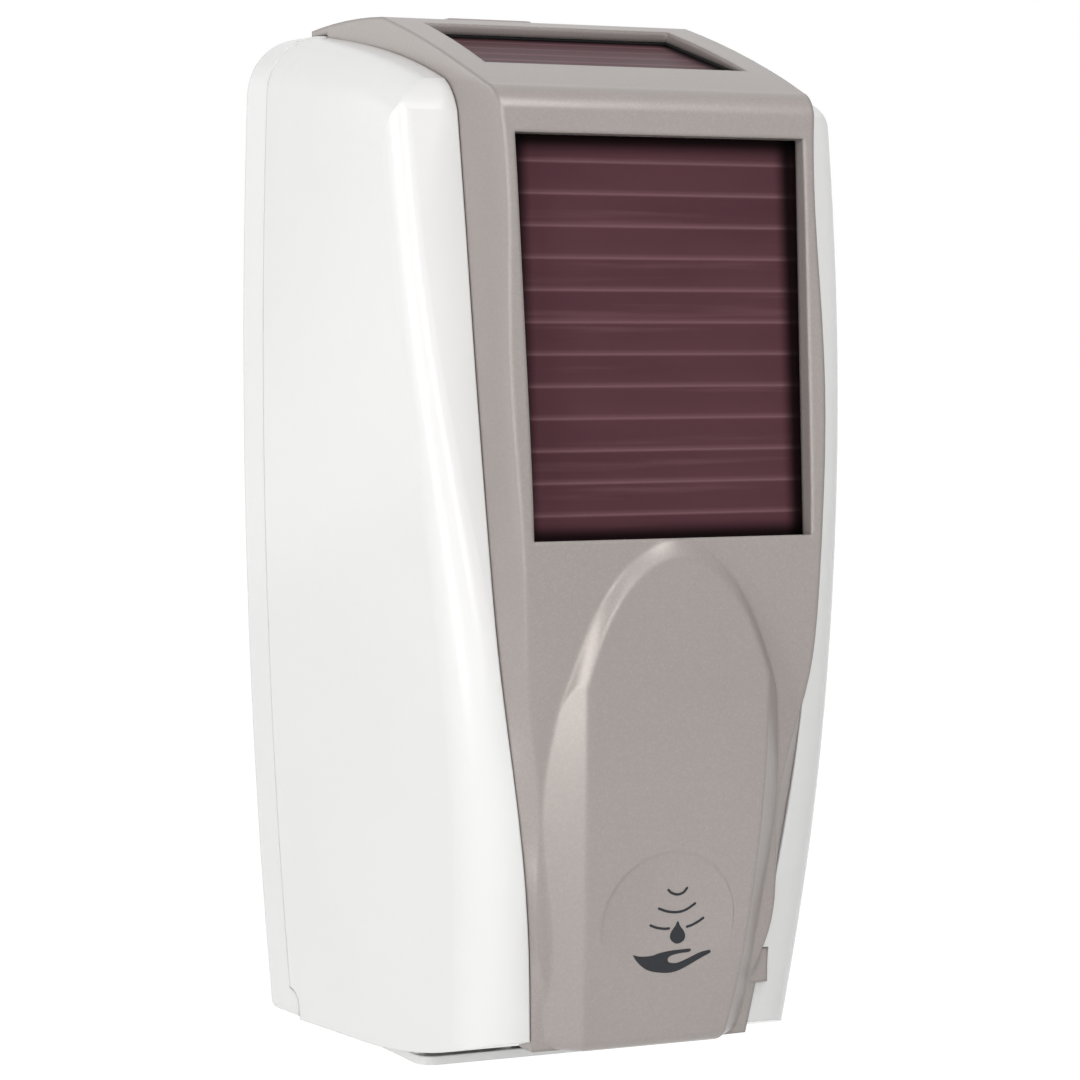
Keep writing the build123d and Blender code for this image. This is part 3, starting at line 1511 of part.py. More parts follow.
# Outlet plate under the cover
with BuildPart() as outlet_plate:
    with BuildSketch(Plane.XY.offset(outlet_low)) as sole:
        with Locations((0, -(chassis_back + outlet_front) / 2)):
            Rectangle(2 * outlet_half, outlet_front - chassis_back)
        fillet(sole.vertices().group_by(Axis.Y)[0], radius=outlet_corner)
    extrude(amount=outlet_thickness)
    slab(
        -outlet_wall_half, outlet_wall_half, chassis_front, chassis_front + outlet_wall,
        outlet_low, outlet_wall_top,
    )
    for side in (-1, 1):
        left, right = sorted((side * (outlet_wall_half + 2 * slip), side * (outlet_half - 2 * slip)))
        slab(
            left, right, outlet_rib_back, outlet_front - outlet_corner, outlet_low, outlet_rib_top
        )
        left, right = sorted((side * (outlet_wall_half - outlet_wall), side * (outlet_half - 2 * slip)))
        slab(left, right, outlet_rib_back, outlet_rib_back + outlet_wall, outlet_low, outlet_rib_top)
        post(side * sensor_post_x, led_depth, outlet_low, sensor_board_low, sensor_post_radius)
        post(side * led_x, led_depth, outlet_low, outlet_high, lens_radius + held_gap, Mode.SUBTRACT)
        dowel(side * outlet_screw_x, outlet_screw_z, 0, overrun, screw_radius + slip, Mode.SUBTRACT)
    post(0, neck_depth, outlet_low, outlet_high, spout_hole_radius, Mode.SUBTRACT)
outlet_plate.part.label = "outlet_plate"
export_step(outlet_plate.part, "parts/outlet_plate.step")

# Outlet plate screws
with BuildPart() as outlet_screws:
    for side in (-1, 1):
        front_screw(
            side * outlet_screw_x, outlet_screw_z, chassis_front + outlet_wall,
            chassis_front + outlet_wall - chassis_back, screw_radius, screw_head_radius, screw_head_height,
        )
outlet_screws.part.label = "outlet_screws"
export_step(outlet_screws.part, "parts/outlet_screws.step")

# Sensor windows, sensor board and its two diodes
with BuildPart() as sensor_windows:
    for side in (-1, 1):
        post(side * led_x, led_depth, outlet_low, outlet_high, lens_radius)
sensor_windows.part.label = "sensor_windows"
export_step(sensor_windows.part, "parts/sensor_windows.step")

with BuildPart() as sensor_board:
    slab(
        -sensor_board_half, sensor_board_half, led_depth - sensor_board_reach, led_depth + sensor_board_reach,
        sensor_board_low, sensor_board_low + board_thickness,
    )
sensor_board.part.label = "sensor_board"
export_step(sensor_board.part, "parts/sensor_board.step")

for side, name in ((-1, "ir_emitter"), (1, "ir_receiver")):
    with BuildPart() as diode:
        post(side * led_x, led_depth, led_low, sensor_board_low, led_radius)
        fillet(diode.faces().sort_by(Axis.Z)[0].edges(), radius=led_radius * led_dome_share)
        post(
            side * led_x, led_depth, sensor_board_low - led_radius / 2, sensor_board_low,
            led_radius * led_rim_share,
        )
    diode.part.label = name
    export_step(diode.part, f"parts/{name}.step")

# Battery box, open upwards, with ears for its screws
battery_inner_back = battery_back + battery_wall
battery_inner_front = battery_front - battery_wall
cell_rows = (
    battery_inner_back + battery_radius + slip / 2,
    battery_inner_front - battery_radius - slip / 2,
)
cell_z = battery_low + battery_wall + battery_radius + held_gap
with BuildPart() as battery_box:
    slab(-battery_half, battery_half, battery_back, battery_front, battery_low, battery_lid_low)
    slab(
        -battery_half + battery_wall, battery_half - battery_wall, battery_inner_back, battery_inner_front,
        battery_low + battery_wall, battery_lid_low, Mode.SUBTRACT,
    )
    for side in (-1, 1):
        left = side * battery_ear_x - battery_ear_half
        slab(
            left, left + 2 * battery_ear_half, battery_back, battery_back + battery_wall,
            battery_lid_low - battery_wall, battery_ear_top,
        )
        dowel(side * battery_ear_x, battery_screw_z, 0, overrun, screw_radius + slip, Mode.SUBTRACT)
battery_box.part.label = "battery_box"
export_step(battery_box.part, "parts/battery_box.step")

with BuildPart() as battery_screws:
    for side in (-1, 1):
        front_screw(
            side * battery_ear_x, battery_screw_z, battery_back + battery_wall,
            battery_back + battery_wall - chassis_back, screw_radius, screw_head_radius, screw_head_height,
        )
battery_screws.part.label = "battery_screws"
export_step(battery_screws.part, "parts/battery_screws.step")

# Battery cells, each with its button end
with BuildPart() as battery_cells:
    for row in cell_rows:
        for left in (-battery_end_x - battery_length, battery_end_x):
            axle(row, cell_z, left, left + battery_length - battery_end_x, battery_radius)
            axle(row, cell_z, left, left + battery_length, battery_radius * battery_button_share)
battery_cells.part.label = "battery_cells"
export_step(battery_cells.part, "parts/battery_cells.step")

# Battery contacts at both ends of the rows
with BuildPart() as battery_contacts:
    for side in (-1, 1):
        far = battery_half - battery_wall - held_gap
        left, right = sorted((side * far, side * (far - contact_thickness)))
        slab(
            left, right, cell_rows[0], cell_rows[1],
            cell_z - contact_half_height, cell_z + contact_half_height,
        )
battery_contacts.part.label = "battery_contacts"
export_step(battery_contacts.part, "parts/battery_contacts.step")

with BuildPart() as battery_lid:
    slab(
        -battery_half, battery_half, battery_inner_back + slip, battery_front,
        battery_lid_low, battery_lid_low + battery_lid_thickness,
    )
battery_lid.part.label = "battery_lid"
export_step(battery_lid.part, "parts/battery_lid.step")

# Latch guide on the chassis
with BuildPart() as latch_guide:
    guide_half = stem_half + slip + guide_arm_width
    slab(-guide_half, guide_half, chassis_front, guide_front, guide_low, guide_high)
    for side in (-1, 1):
        left, right = sorted((side * (stem_half + slip), side * guide_half))
        slab(left, right, chassis_front, guide_front, guide_low, guide_arm_top)
    post(
        0, latch_spring_depth, latch_spring_seat, guide_high, latch_spring_radius + 3 * latch_wire,
        Mode.SUBTRACT,
    )
latch_guide.part.label = "latch_guide"
export_step(latch_guide.part, "parts/latch_guide.step")

# Latch button
with BuildPart() as latch_button:
    slab(-button_half, button_half, button_back, button_front, button_low, button_high)
    fillet(latch_button.edges().group_by(Axis.Z)[-1], radius=button_round)
    slab(-stem_half, stem_half, stem_back, stem_front, stem_low, button_low)
    slab(-stem_half, stem_half, stem_back, ledge_front, stem_low, stem_low + ledge_height)
latch_button.part.label = "latch_button"
export_step(latch_button.part, "parts/latch_button.step")

# Latch spring
with BuildPart() as latch_spring:
    coil_spring(
        0, latch_spring_depth, latch_spring_seat + running_gap, stem_low - running_gap,
        latch_spring_radius, latch_wire, latch_turns,
    )
latch_spring.part.label = "latch_spring"
export_step(latch_spring.part, "parts/latch_spring.step")
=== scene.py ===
import json
import math

import bmesh
import bpy
from bpy.props import FloatProperty, FloatVectorProperty, IntProperty, PointerProperty
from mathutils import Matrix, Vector


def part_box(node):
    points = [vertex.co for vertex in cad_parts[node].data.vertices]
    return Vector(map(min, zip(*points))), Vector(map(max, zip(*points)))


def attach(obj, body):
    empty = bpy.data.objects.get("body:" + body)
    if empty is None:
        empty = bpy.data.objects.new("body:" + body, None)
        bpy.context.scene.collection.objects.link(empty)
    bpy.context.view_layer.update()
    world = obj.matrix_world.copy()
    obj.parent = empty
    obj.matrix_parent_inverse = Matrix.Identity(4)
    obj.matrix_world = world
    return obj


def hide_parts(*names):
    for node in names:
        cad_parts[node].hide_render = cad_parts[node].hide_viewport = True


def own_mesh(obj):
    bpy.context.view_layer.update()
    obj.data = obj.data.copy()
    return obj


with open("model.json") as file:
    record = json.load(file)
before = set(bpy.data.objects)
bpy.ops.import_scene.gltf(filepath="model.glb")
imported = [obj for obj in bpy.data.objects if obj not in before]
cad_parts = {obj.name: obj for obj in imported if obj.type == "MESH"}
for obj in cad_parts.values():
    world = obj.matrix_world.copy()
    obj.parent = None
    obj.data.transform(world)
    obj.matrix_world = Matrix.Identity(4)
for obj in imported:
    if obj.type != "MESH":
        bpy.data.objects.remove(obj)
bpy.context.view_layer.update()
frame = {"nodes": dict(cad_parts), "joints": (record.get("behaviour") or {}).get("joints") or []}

bl_info = {
    "name": "Washroom Soap Dispenser",
    "version": (1, 0, 0),
    "blender": (4, 5, 0),
    "location": "3D View > Sidebar > Dispenser",
    "description": "Dresses the packed model of a wall-mounted automatic soap dispenser",
    "category": "Object",
}

MM = 0.001

# Boxes of the built parts that a finish or a piece is laid out from, in metres
CELL_LOW, CELL_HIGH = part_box("front_solar_cell")
TOP_CELL_LOW, TOP_CELL_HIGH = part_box("top_solar_cell")
BATTERY_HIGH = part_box("battery_cells")[1]

# The hand sign in the dish: outlines and centre lines in mm across and up
HAND = (
    (-9.1, -105.0), (-7.2, -105.5), (-3.9, -105.6), (-1.3, -105.0), (1.7, -104.6), (4.6, -104.5),
    (7.3, -104.4), (7.7, -104.9), (7.0, -105.3), (5.2, -105.4), (3.4, -105.6), (1.8, -106.0),
    (1.1, -106.7), (1.3, -107.5), (2.2, -107.9), (3.9, -108.0), (5.9, -107.4), (8.2, -106.5),
    (10.5, -105.6), (12.5, -105.2), (13.3, -105.2), (13.5, -105.7), (13.0, -106.1), (11.7, -106.7),
    (9.4, -107.8), (7.2, -108.9), (4.9, -109.9), (2.9, -110.4), (0.8, -110.5), (-2.2, -110.1),
    (-4.6, -109.4), (-6.4, -108.3), (-8.0, -106.8), (-8.9, -105.6),
)
DROP = (
    (3.4, -96.7), (4.2, -98.1), (5.2, -99.3), (5.8, -100.6), (5.6, -101.8), (4.8, -102.5),
    (3.6, -102.8), (2.5, -102.4), (1.6, -101.5), (1.4, -100.3), (1.9, -99.1), (2.7, -98.0),
)
WAVES = (
    ((-0.2, -88.0), (0.9, -88.9), (2.6, -89.4), (4.2, -89.0), (5.2, -87.8)),
    ((-2.5, -92.9), (0.3, -93.9), (3.2, -94.2), (5.5, -93.7), (8.0, -92.2)),
    ((-4.6, -97.3), (-2.9, -98.0), (-0.6, -98.5), (0.9, -98.5)),
    ((6.2, -98.4), (7.6, -98.0), (9.3, -97.2), (10.7, -96.3)),
)

# Lamps: name, place and sides in metres, power in watts
LAMPS = (
    ("key_left", (-1.15, -0.55, 0.15), (0.5, 1.1), 6.2),
    ("strip_left", (-0.75, 0.95, 0.3), (0.6, 0.9), 1.2),
    ("fill_front", (-0.4, -1.3, 0.4), (0.3, 0.8), 4.2),
    ("overhead", (0.2, -0.75, 1.0), (0.4, 0.3), 3.0),
)
LAMP_AIM = Vector((0, -0.06, 0))

# What lights the object, of the white that the camera sees round it
WORLD_LIGHT = 0.34
FLOOR_GLOW = 1.5
FLOOR_GLOW_SHARE = 0.6
FLOOR_REACH = 30

# The photograph's camera: in degrees, metres, and lens and sensor in mm
CAMERA_YAW = 25
CAMERA_PITCH = 3.361
CAMERA_DISTANCE = 0.9837
CAMERA_TARGET = Vector((-0.004132, -0.065, 0))
CAMERA_LENS = 118.05
CAMERA_SENSOR = 36


def linear(hex_colour):
    """Linear RGBA of an sRGB hex colour."""
    channels = [int(hex_colour[i : i + 2], 16) / 255 for i in (1, 3, 5)]
    return [
        c / 12.92 if c <= 0.04045 else ((c + 0.055) / 1.055) ** 2.4 for c in channels
    ] + [1.0]


def grey(level):
    """A neutral colour of a linear level."""
    return (level, level, level, 1)


def toned(colour, factor):
    """A colour made darker or lighter by a factor."""
    return [min(1.0, channel * factor) for channel in colour[:3]] + [1.0]


def add_node(tree, kind, settings=None, inputs=None):
    """Adds a node, sets its properties, and fills or links its inputs."""
    node = tree.nodes.new(kind)
    for name, value in (settings or {}).items():
        setattr(node, name, value)
    for name, value in (inputs or {}).items():
        socket = node.inputs[name]
        if isinstance(value, bpy.types.NodeSocket):
            tree.links.new(value, socket)
        else:
            socket.default_value = value
    return node


def ramp(tree, factor, stops):
    """Colours along a factor, with stops as (position, colour)."""
    node = add_node(tree, "ShaderNodeValToRGB", inputs={"Fac": factor})
    elements = node.color_ramp.elements
    while len(elements) < len(stops):
        elements.new(0.5)
    for element, (position, colour) in zip(elements, stops):
        element.position = position
        element.color = colour
    return node.outputs["Color"]


def spread(tree, value, low, high, to_low=0.0, to_high=1.0):
    """A value brought smoothly from one range to another."""
    node = add_node(
        tree, "ShaderNodeMapRange", {"interpolation_type": "SMOOTHSTEP"},
        {"Value": value, "From Min": low, "From Max": high, "To Min": to_low, "To Max": to_high},
    )
    return node.outputs["Result"]


def blend_colours(tree, factor, first, second, way="MIX"):
    """Two colours mixed or multiplied by a factor."""
    node = add_node(
        tree, "ShaderNodeMix", {"data_type": "RGBA", "blend_type": way},
        {"Factor": factor, "A": first, "B": second},
    )
    return node.outputs["Result"]


def combine(tree, operation, *values):
    """The result of a mathematical operation on one or two values."""
    node = add_node(tree, "ShaderNodeMath", {"operation": operation}, dict(enumerate(values)))
    return node.outputs[0]


def cloud(tree, place, size, detail=2.0, stretch=(1, 1, 1)):
    """Soft noise with patches of a size in mm, stretched by direction."""
    mapping = add_node(tree, "ShaderNodeMapping", inputs={"Vector": place, "Scale": stretch})
    node = add_node(
        tree, "ShaderNodeTexNoise",
        inputs={"Vector": mapping.outputs["Vector"], "Scale": 1 / (size * MM), "Detail": detail},
    )
    return node.outputs["Fac"]


def new_material(name, sockets=None):
    """An empty node material with its shader, output and object coordinates."""
    material = bpy.data.materials.new(name)
    material.use_nodes = True
    tree = material.node_tree
    tree.nodes.clear()
    shader = add_node(tree, "ShaderNodeBsdfPrincipled", inputs=sockets)
    add_node(tree, "ShaderNodeOutputMaterial", inputs={"Surface": shader.outputs["BSDF"]})
    place = add_node(tree, "ShaderNodeTexCoord").outputs["Object"]
    return material, tree, shader, place


def relief(tree, shader, height, depth, edge):
    """Bump of a depth in mm over edges rounded by a radius in mm."""
    rounded = add_node(tree, "ShaderNodeBevel", {"samples": 6}, {"Radius": edge * MM})
    node = add_node(
        tree, "ShaderNodeBump",
        inputs={"Height": height, "Distance": depth * MM, "Normal": rounded.outputs["Normal"]},
    )
    tree.links.new(node.outputs["Normal"], shader.inputs["Normal"])


def moulded(name, colour, darker, patch, rough, uneven, grain, depth, edge, sockets=None):
    """A moulded plastic: slow colour drift, uneven gloss, a fine skin and soft edges, in mm."""
    material, tree, shader, place = new_material(name, sockets)
    drift = cloud(tree, place, patch, 3.0)
    evened = spread(tree, drift, 0.25, 0.75)
    tint = blend_colours(tree, evened, toned(colour, darker), toned(colour, 1.0))
    tree.links.new(tint, shader.inputs["Base Color"])
    gloss = spread(tree, drift, 0.3, 0.7, rough - uneven, rough + uneven)
    tree.links.new(gloss, shader.inputs["Roughness"])
    relief(tree, shader, cloud(tree, place, grain), depth, edge)
    return material


def worked_metal(name, colour, darker, line, rough, uneven, stretch, edge, sockets=None):
    """A metal with fine drawn, turned or plated lines, in mm, stretched by direction."""
    material, tree, shader, place = new_material(name, sockets)
    shader.inputs["Metallic"].default_value = 1.0
    lines = cloud(tree, place, line, 4.0, stretch)
    tint = ramp(tree, lines, [(0.3, toned(colour, darker)), (0.7, toned(colour, 1.0))])
    tree.links.new(tint, shader.inputs["Base Color"])
    gloss = spread(tree, lines, 0.3, 0.7, rough - uneven, rough + uneven)
    tree.links.new(gloss, shader.inputs["Roughness"])
    relief(tree, shader, lines, 0.01, edge)
    return material


def abs_gloss_white(colour):
    """ABS injection moulded in a polished tool, for the cover, the housing and the outlet plate."""
    # A polished tool leaves a clear gloss, with a faint wave in it from shrinkage
    return moulded(
        "abs_gloss_white", colour, darker=0.975, patch=90, rough=0.2, uneven=0.02, grain=34,
        depth=0.03, edge=0.7, sockets={"IOR": 1.53, "Specular IOR Level": 0.25},
    )


def abs_pearl_grey(colour):
    """ABS with mineral pearl pigment, moulded in a lightly grained tool, for the front panel."""
    sockets = {"IOR": 1.53, "Metallic": 0.25, "Specular IOR Level": 0.4}
    material, tree, shader, place = new_material("abs_pearl_grey", sockets)
    drift = cloud(tree, place, 60)
    evened = spread(tree, drift, 0.25, 0.75)
    base = blend_colours(tree, evened, toned(colour, 0.96), toned(colour, 1.02))
    # Pearl flakes are about 0.05 mm, drawn coarser so that they show as a faint sparkle
    flake = 0.4 * MM
    flakes = add_node(tree, "ShaderNodeTexVoronoi", inputs={"Vector": place, "Scale": 1 / flake})
    glint = ramp(
        tree, flakes.outputs["Color"],
        [(0.0, toned(colour, 0.86)), (0.6, toned(colour, 1.0)), (1.0, toned(colour, 1.3))],
    )
    tree.links.new(blend_colours(tree, 0.3, base, glint), shader.inputs["Base Color"])
    tree.links.new(spread(tree, drift, 0.3, 0.7, 0.29, 0.35), shader.inputs["Roughness"])
    relief(tree, shader, cloud(tree, place, 0.5, 1.0), depth=0.003, edge=1.8)
    return material


def amorphous_cell(name, colour, line_colour, sizes, low, high, axis):
    """Amorphous silicon behind glass: dark red strips in series, parted by laser-cut lines, with
    painted shade towards the frame.
    """
    sockets = {"IOR": 1.5, "Specular IOR Level": 0.03}
    material, tree, shader, place = new_material(name, sockets)
    split = add_node(tree, "ShaderNodeSeparateXYZ", inputs={"Vector": place})
    across = combine(tree, "ABSOLUTE", split.outputs["X"])
    along = split.outputs[axis]
    start, end = getattr(low, axis.lower()), getattr(high, axis.lower())
    strips = round((end - start) / sizes.strip_pitch)
    count = add_node(
        tree, "ShaderNodeMapRange",
        inputs={"Value": along, "From Min": start, "From Max": end, "To Max": strips},
    )
    part = combine(tree, "FRACT", count.outputs["Result"])
    # The deposited film varies in tone along the strips
    film = cloud(tree, place, 22, 3.0, (0.35, 1, 1))
    tint = ramp(tree, film, [(0.3, toned(colour, 0.9)), (0.7, toned(colour, 1.12))])
    # A cut line glows a little way above itself and stops short below
    half_line = sizes.strip_line * strips / (end - start) / 2
    line = ramp(
        tree, part,
        [
            (0.0, grey(1)), (half_line, grey(0.5)), (0.16, grey(0.06)), (0.5, grey(0)),
            (0.9, grey(0)), (1 - half_line, grey(0.1)), (1.0, grey(1)),
        ],
    )
    streaks = cloud(tree, place, 3.2, 3.0, (0.04, 1, 1))
    scored = blend_colours(tree, line, tint, line_colour)
    faint_streaks = spread(tree, streaks, 0.55, 0.75, 0.0, 0.3)
    streaked = blend_colours(tree, faint_streaks, scored, line_colour)
    # Painted shade: the cell darkens towards its frame, as if in the frame's shadow, and the frame
    # hides a little more at the sides
    frame_shade, rim = sizes.cell_frame_shade, sizes.cell_rim
    side_rim = high.x - rim - 1.5 * MM
    darkest = 0.08
    side = spread(tree, across, side_rim - frame_shade, side_rim, 1.0, darkest)
    foot = spread(tree, along, start + rim, start + rim + frame_shade, darkest, 1.0)
    head = spread(tree, along, end - rim - frame_shade, end - rim, 1.0, darkest)
    shade = combine(tree, "MULTIPLY", side, combine(tree, "MULTIPLY", foot, head))
    dark = ramp(tree, shade, [(0.0, grey(0)), (1.0, grey(1))])
    shaded = blend_colours(tree, 1.0, streaked, dark, "MULTIPLY")
    tree.links.new(shaded, shader.inputs["Base Color"])
    tree.links.new(spread(tree, film, 0.3, 0.7, 0.32, 0.4), shader.inputs["Roughness"])
    relief(tree, shader, line, depth=0.02, edge=0.3)
    return material


def natural_polyethylene(soap, level):
    """Blow-moulded natural polyethylene for the refill bottle, with soap up to a level."""
    sockets = {
        "IOR": 1.53, "Transmission Weight": 0.15,
        "Subsurface Weight": 0.25, "Subsurface Scale": 4 * MM,
    }
    material, tree, shader, place = new_material("natural_polyethylene", sockets)
    split = add_node(tree, "ShaderNodeSeparateXYZ", inputs={"Vector": place})
    drift = cloud(tree, place, 30)
    wall = ramp(tree, drift, [(0.3, linear("#E2E5E0")), (0.7, linear("#ECEEEA"))])
    filled = spread(tree, split.outputs["Z"], level - 0.4 * MM, level + 0.4 * MM, 0.8, 0.0)
    tree.links.new(blend_colours(tree, filled, wall, soap), shader.inputs["Base Color"])
    tree.links.new(spread(tree, drift, 0.3, 0.7, 0.36, 0.46), shader.inputs["Roughness"])
    # Blown walls keep long shallow waves
    relief(tree, shader, cloud(tree, place, 18, 1.0), depth=0.12, edge=0.8)
    return material


def circuit_laminate(colour):
    """Glass-epoxy laminate with solder mask, its copper tracks showing through as paler lines."""
    sockets = {"IOR": 1.55, "Coat Weight": 0.4, "Coat Roughness": 0.1}
    material, tree, shader, place = new_material("circuit_laminate", sockets)
    # Tracks are 0.3 mm wide on a 1.27 mm grid
    turned = add_node(
        tree, "ShaderNodeMapping", inputs={"Vector": place, "Rotation": (math.radians(90), 0, 0)}
    )
    tracks = add_node(
        tree, "ShaderNodeTexBrick", {"offset": 0.5},
        {
            "Vector": turned.outputs["Vector"], "Scale": 1.0, "Brick Width": 7.62 * MM,
            "Row Height": 1.27 * MM, "Mortar Size": 0.15 * MM,
            "Color1": toned(colour, 1.0), "Color2": toned(colour, 0.92),
            "Mortar": toned(colour, 1.9),
        },
    )
    tree.links.new(tracks.outputs["Color"], shader.inputs["Base Color"])
    gloss = spread(tree, cloud(tree, place, 12), 0.3, 0.7, 0.28, 0.34)
    tree.links.new(gloss, shader.inputs["Roughness"])
    relief(tree, shader, tracks.outputs["Fac"], depth=0.03, edge=0.2)
    return material


def shrink_sleeve(colour):
    """Shrink sleeve over steel dry cells, with a pale band and bare steel at the ends."""
    sockets = {"IOR": 1.5, "Coat Weight": 0.3, "Coat Roughness": 0.08}
    material, tree, shader, place = new_material("shrink_sleeve", sockets)
    split = add_node(tree, "ShaderNodeSeparateXYZ", inputs={"Vector": place})
    across = combine(tree, "ABSOLUTE", split.outputs["X"])
    along = add_node(
        tree, "ShaderNodeMapRange",
        inputs={"Value": across, "From Min": 0.0, "From Max": BATTERY_HIGH.x},
    ).outputs["Result"]
    sleeve, pale, end = toned(colour, 1.0), linear("#C9CDD0"), toned(colour, 0.8)
    bands = ramp(
        tree, along,
        [(0.0, sleeve), (0.74, sleeve), (0.745, pale), (0.78, pale), (0.785, end), (1.0, end)],
    )
    tree.links.new(bands, shader.inputs["Base Color"])
    gloss = spread(tree, cloud(tree, place, 9), 0.3, 0.7, 0.28, 0.34)
    tree.links.new(gloss, shader.inputs["Roughness"])
    relief(tree, shader, cloud(tree, place, 5), depth=0.02, edge=0.3)
    return material


def dress(material, *nodes):
    """Gives CAD nodes their material."""
    for name in nodes:
        mesh = frame["nodes"][name].data
        mesh.materials.clear()
        mesh.materials.append(material)


def new_piece(name, mesh, body, material):
    """A scene piece from a bmesh, riding on a body with its material and slot."""
    bmesh.ops.recalc_face_normals(mesh, faces=mesh.faces)
    data = bpy.data.meshes.new(name)
    mesh.to_mesh(data)
    mesh.free()
    piece = bpy.data.objects.new(name, data)
    bpy.context.scene.collection.objects.link(piece)
    data.materials.append(material)
    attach(piece, body)
    return piece


def shortening_coil(node, joint, material):
    """A smooth copy of a spring in the place of its rigid solid, riding on the base; its joint's
    travel is read, but the coil does not shorten.
    """
    mesh = bmesh.new()
    mesh.from_mesh(frame["nodes"][node].data)
    for face in mesh.faces:
        face.smooth = True
    piece = new_piece(f"{node}_coil", mesh, "base", material)
    travel = max(next(each for each in frame["joints"] if each["name"] == joint)["range_m"])
    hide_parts(node)
    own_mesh(piece)


def curve_point(points, index, t):
    """A point of the smooth curve through points, between index and the next one."""
    p0, p1, p2, p3 = points[index : index + 4]
    curving = 2 * p0 - 5 * p1 + 4 * p2 - p3
    closing = 3 * p1 - p0 - 3 * p2 + p3
    return 0.5 * (2 * p1 + (p2 - p0) * t + curving * t ** 2 + closing * t ** 3)


def smooth_loop(points, steps):
    """A closed smooth curve through points."""
    ring = [Vector(p) for p in points]
    ring = [ring[-1]] + ring + ring[:2]
    return [curve_point(ring, i, step / steps) for i in range(len(points)) for step in range(steps)]


def smooth_line(points, steps):
    """An open smooth curve through points."""
    row = [Vector(p) for p in points]
    row = [2 * row[0] - row[1]] + row + [2 * row[-1] - row[-2]]
    spans = range(len(points) - 1)
    return [curve_point(row, i, step / steps) for i in spans for step in range(steps)] + [row[-2]]


def stroke_outline(line, half_width, end_steps=5):
    """The outline of a round-ended stroke along a line."""
    left, right = [], []
    for i, point in enumerate(line):
        ahead = line[min(i + 1, len(line) - 1)] - line[max(i - 1, 0)]
        side = Vector((-ahead.y, ahead.x)).normalized() * half_width
        left.append(point + side)
        right.append(point - side)

    def cap(centre, start, turn):
        angle = math.atan2(start.y - centre.y, start.x - centre.x)
        for step in range(1, end_steps):
            swing = angle + turn * math.pi * step / end_steps
            yield centre + Vector((math.cos(swing), math.sin(swing))) * half_width

    return left + list(cap(line[-1], left[-1], -1)) + right[::-1] + list(cap(line[0], right[0], -1))


def on_front(node, x, z):
    """Point and normal of a node's front at a place in metres across and up."""
    hit, point, normal, _ = frame["nodes"][node].ray_cast(Vector((x, -1, z)), Vector((0, 1, 0)))
    if not hit:
        raise RuntimeError(f"nothing of {node} lies behind {x}, {z}")
    return point, normal


def add_film(mesh, outline, node, thickness, sink):
    """A closed film with an outline in mm, laid on the curved front of a node."""
    places = [on_front(node, p.x * MM, p.y * MM) for p in outline]
    face = [mesh.verts.new(point + normal * thickness) for point, normal in places]
    back = [mesh.verts.new(point - normal * sink) for point, normal in places]
    count = len(outline)
    for i in range(count):
        j = (i + 1) % count
        mesh.faces.new((face[i], back[i], back[j], face[j]))
    for ring in (face, back):
        edges = [mesh.edges.get((ring[i], ring[(i + 1) % count])) for i in range(count)]
        bmesh.ops.triangle_fill(mesh, use_beauty=True, edges=edges)


class DispenserSizes(bpy.types.PropertyGroup):
    """Sizes that a user may change"""

    strip_pitch: FloatProperty(
        name="Strip Pitch", description="Spacing of the strips of a solar cell",
        default=8.3 * MM, unit="LENGTH",
    )
    strip_line: FloatProperty(
        name="Strip Line", description="Width of the line between two strips",
        default=0.9 * MM, unit="LENGTH",
    )
    # The dark margin round a cell is painted shade from its frame; this is its width
    cell_frame_shade: FloatProperty(
        name="Cell Border", description="Width of the dark print round a cell",
        default=4.5 * MM, unit="LENGTH",
    )
    cell_rim: FloatProperty(
        name="Cell Rim", description="Width of a cell behind its frame",
        default=2.4 * MM, unit="LENGTH",
    )
    ink_thickness: FloatProperty(
        name="Ink Thickness", description="Thickness of the printed sign",
        default=0.08 * MM, unit="LENGTH",
    )
    wave_width: FloatProperty(
        name="Wave Width", description="Width of the sign's three waves",
        default=0.66 * MM, unit="LENGTH",
    )
    curve_steps: IntProperty(
        name="Curve Steps", description="Points between two points of an outline",
        default=5, min=2,
    )
    soap_level: FloatProperty(
        name="Soap Level", description="Height of the soap above the wall screws",
        default=58 * MM, unit="LENGTH",
    )
    floor_drop: FloatProperty(
        name="Floor Drop", description="Floor below the wall screws",
        default=0.32, unit="LENGTH",
    )


def colour_property(name, description, hex_colour):
    """A colour that a user may change, given as sRGB hex."""
    return FloatVectorProperty(
        name=name, description=description, subtype="COLOR", size=4, min=0, max=1,
        default=linear(hex_colour),
    )


class DispenserColours(bpy.types.PropertyGroup):
    """Colours that a user may change"""

    shell: colour_property("Shell", "White of the cover and the housing", "#F6F6F5")
    panel: colour_property("Panel", "Pearl grey of the front panel", "#A8A09C")
    cell: colour_property("Cell", "Dark red of the solar cells", "#57383F")
    cell_line: colour_property("Cell Line", "Red of the lines in the cells", "#7B5A60")
    ink: colour_property("Ink", "Slate of the printed sign", "#2B2E33")
    chassis: colour_property("Chassis", "Light grey of the inner mouldings", "#B9B9B6")
    retainer: colour_property("Retainer", "Black of the small mouldings", "#1D1D1F")
    soap: colour_property("Soap", "Soap seen through the bottle", "#D9B9C4")
    laminate: colour_property("Laminate", "Green of the circuit boards", "#0E4A2A")
    sleeve: colour_property("Sleeve", "Sleeve of the dry cells", "#2F4256")


class DISPENSER_OT_shell(bpy.types.Operator):
    """Dresses the housing, the cover and the outlet plate in white"""

    bl_idname = "dispenser.shell"
    bl_label = "Shell"

    def execute(self, context):
        white = abs_gloss_white(context.scene.dispenser_colours.shell)
        dress(white, "back_housing", "side_cover", "outlet_plate")
        return {"FINISHED"}


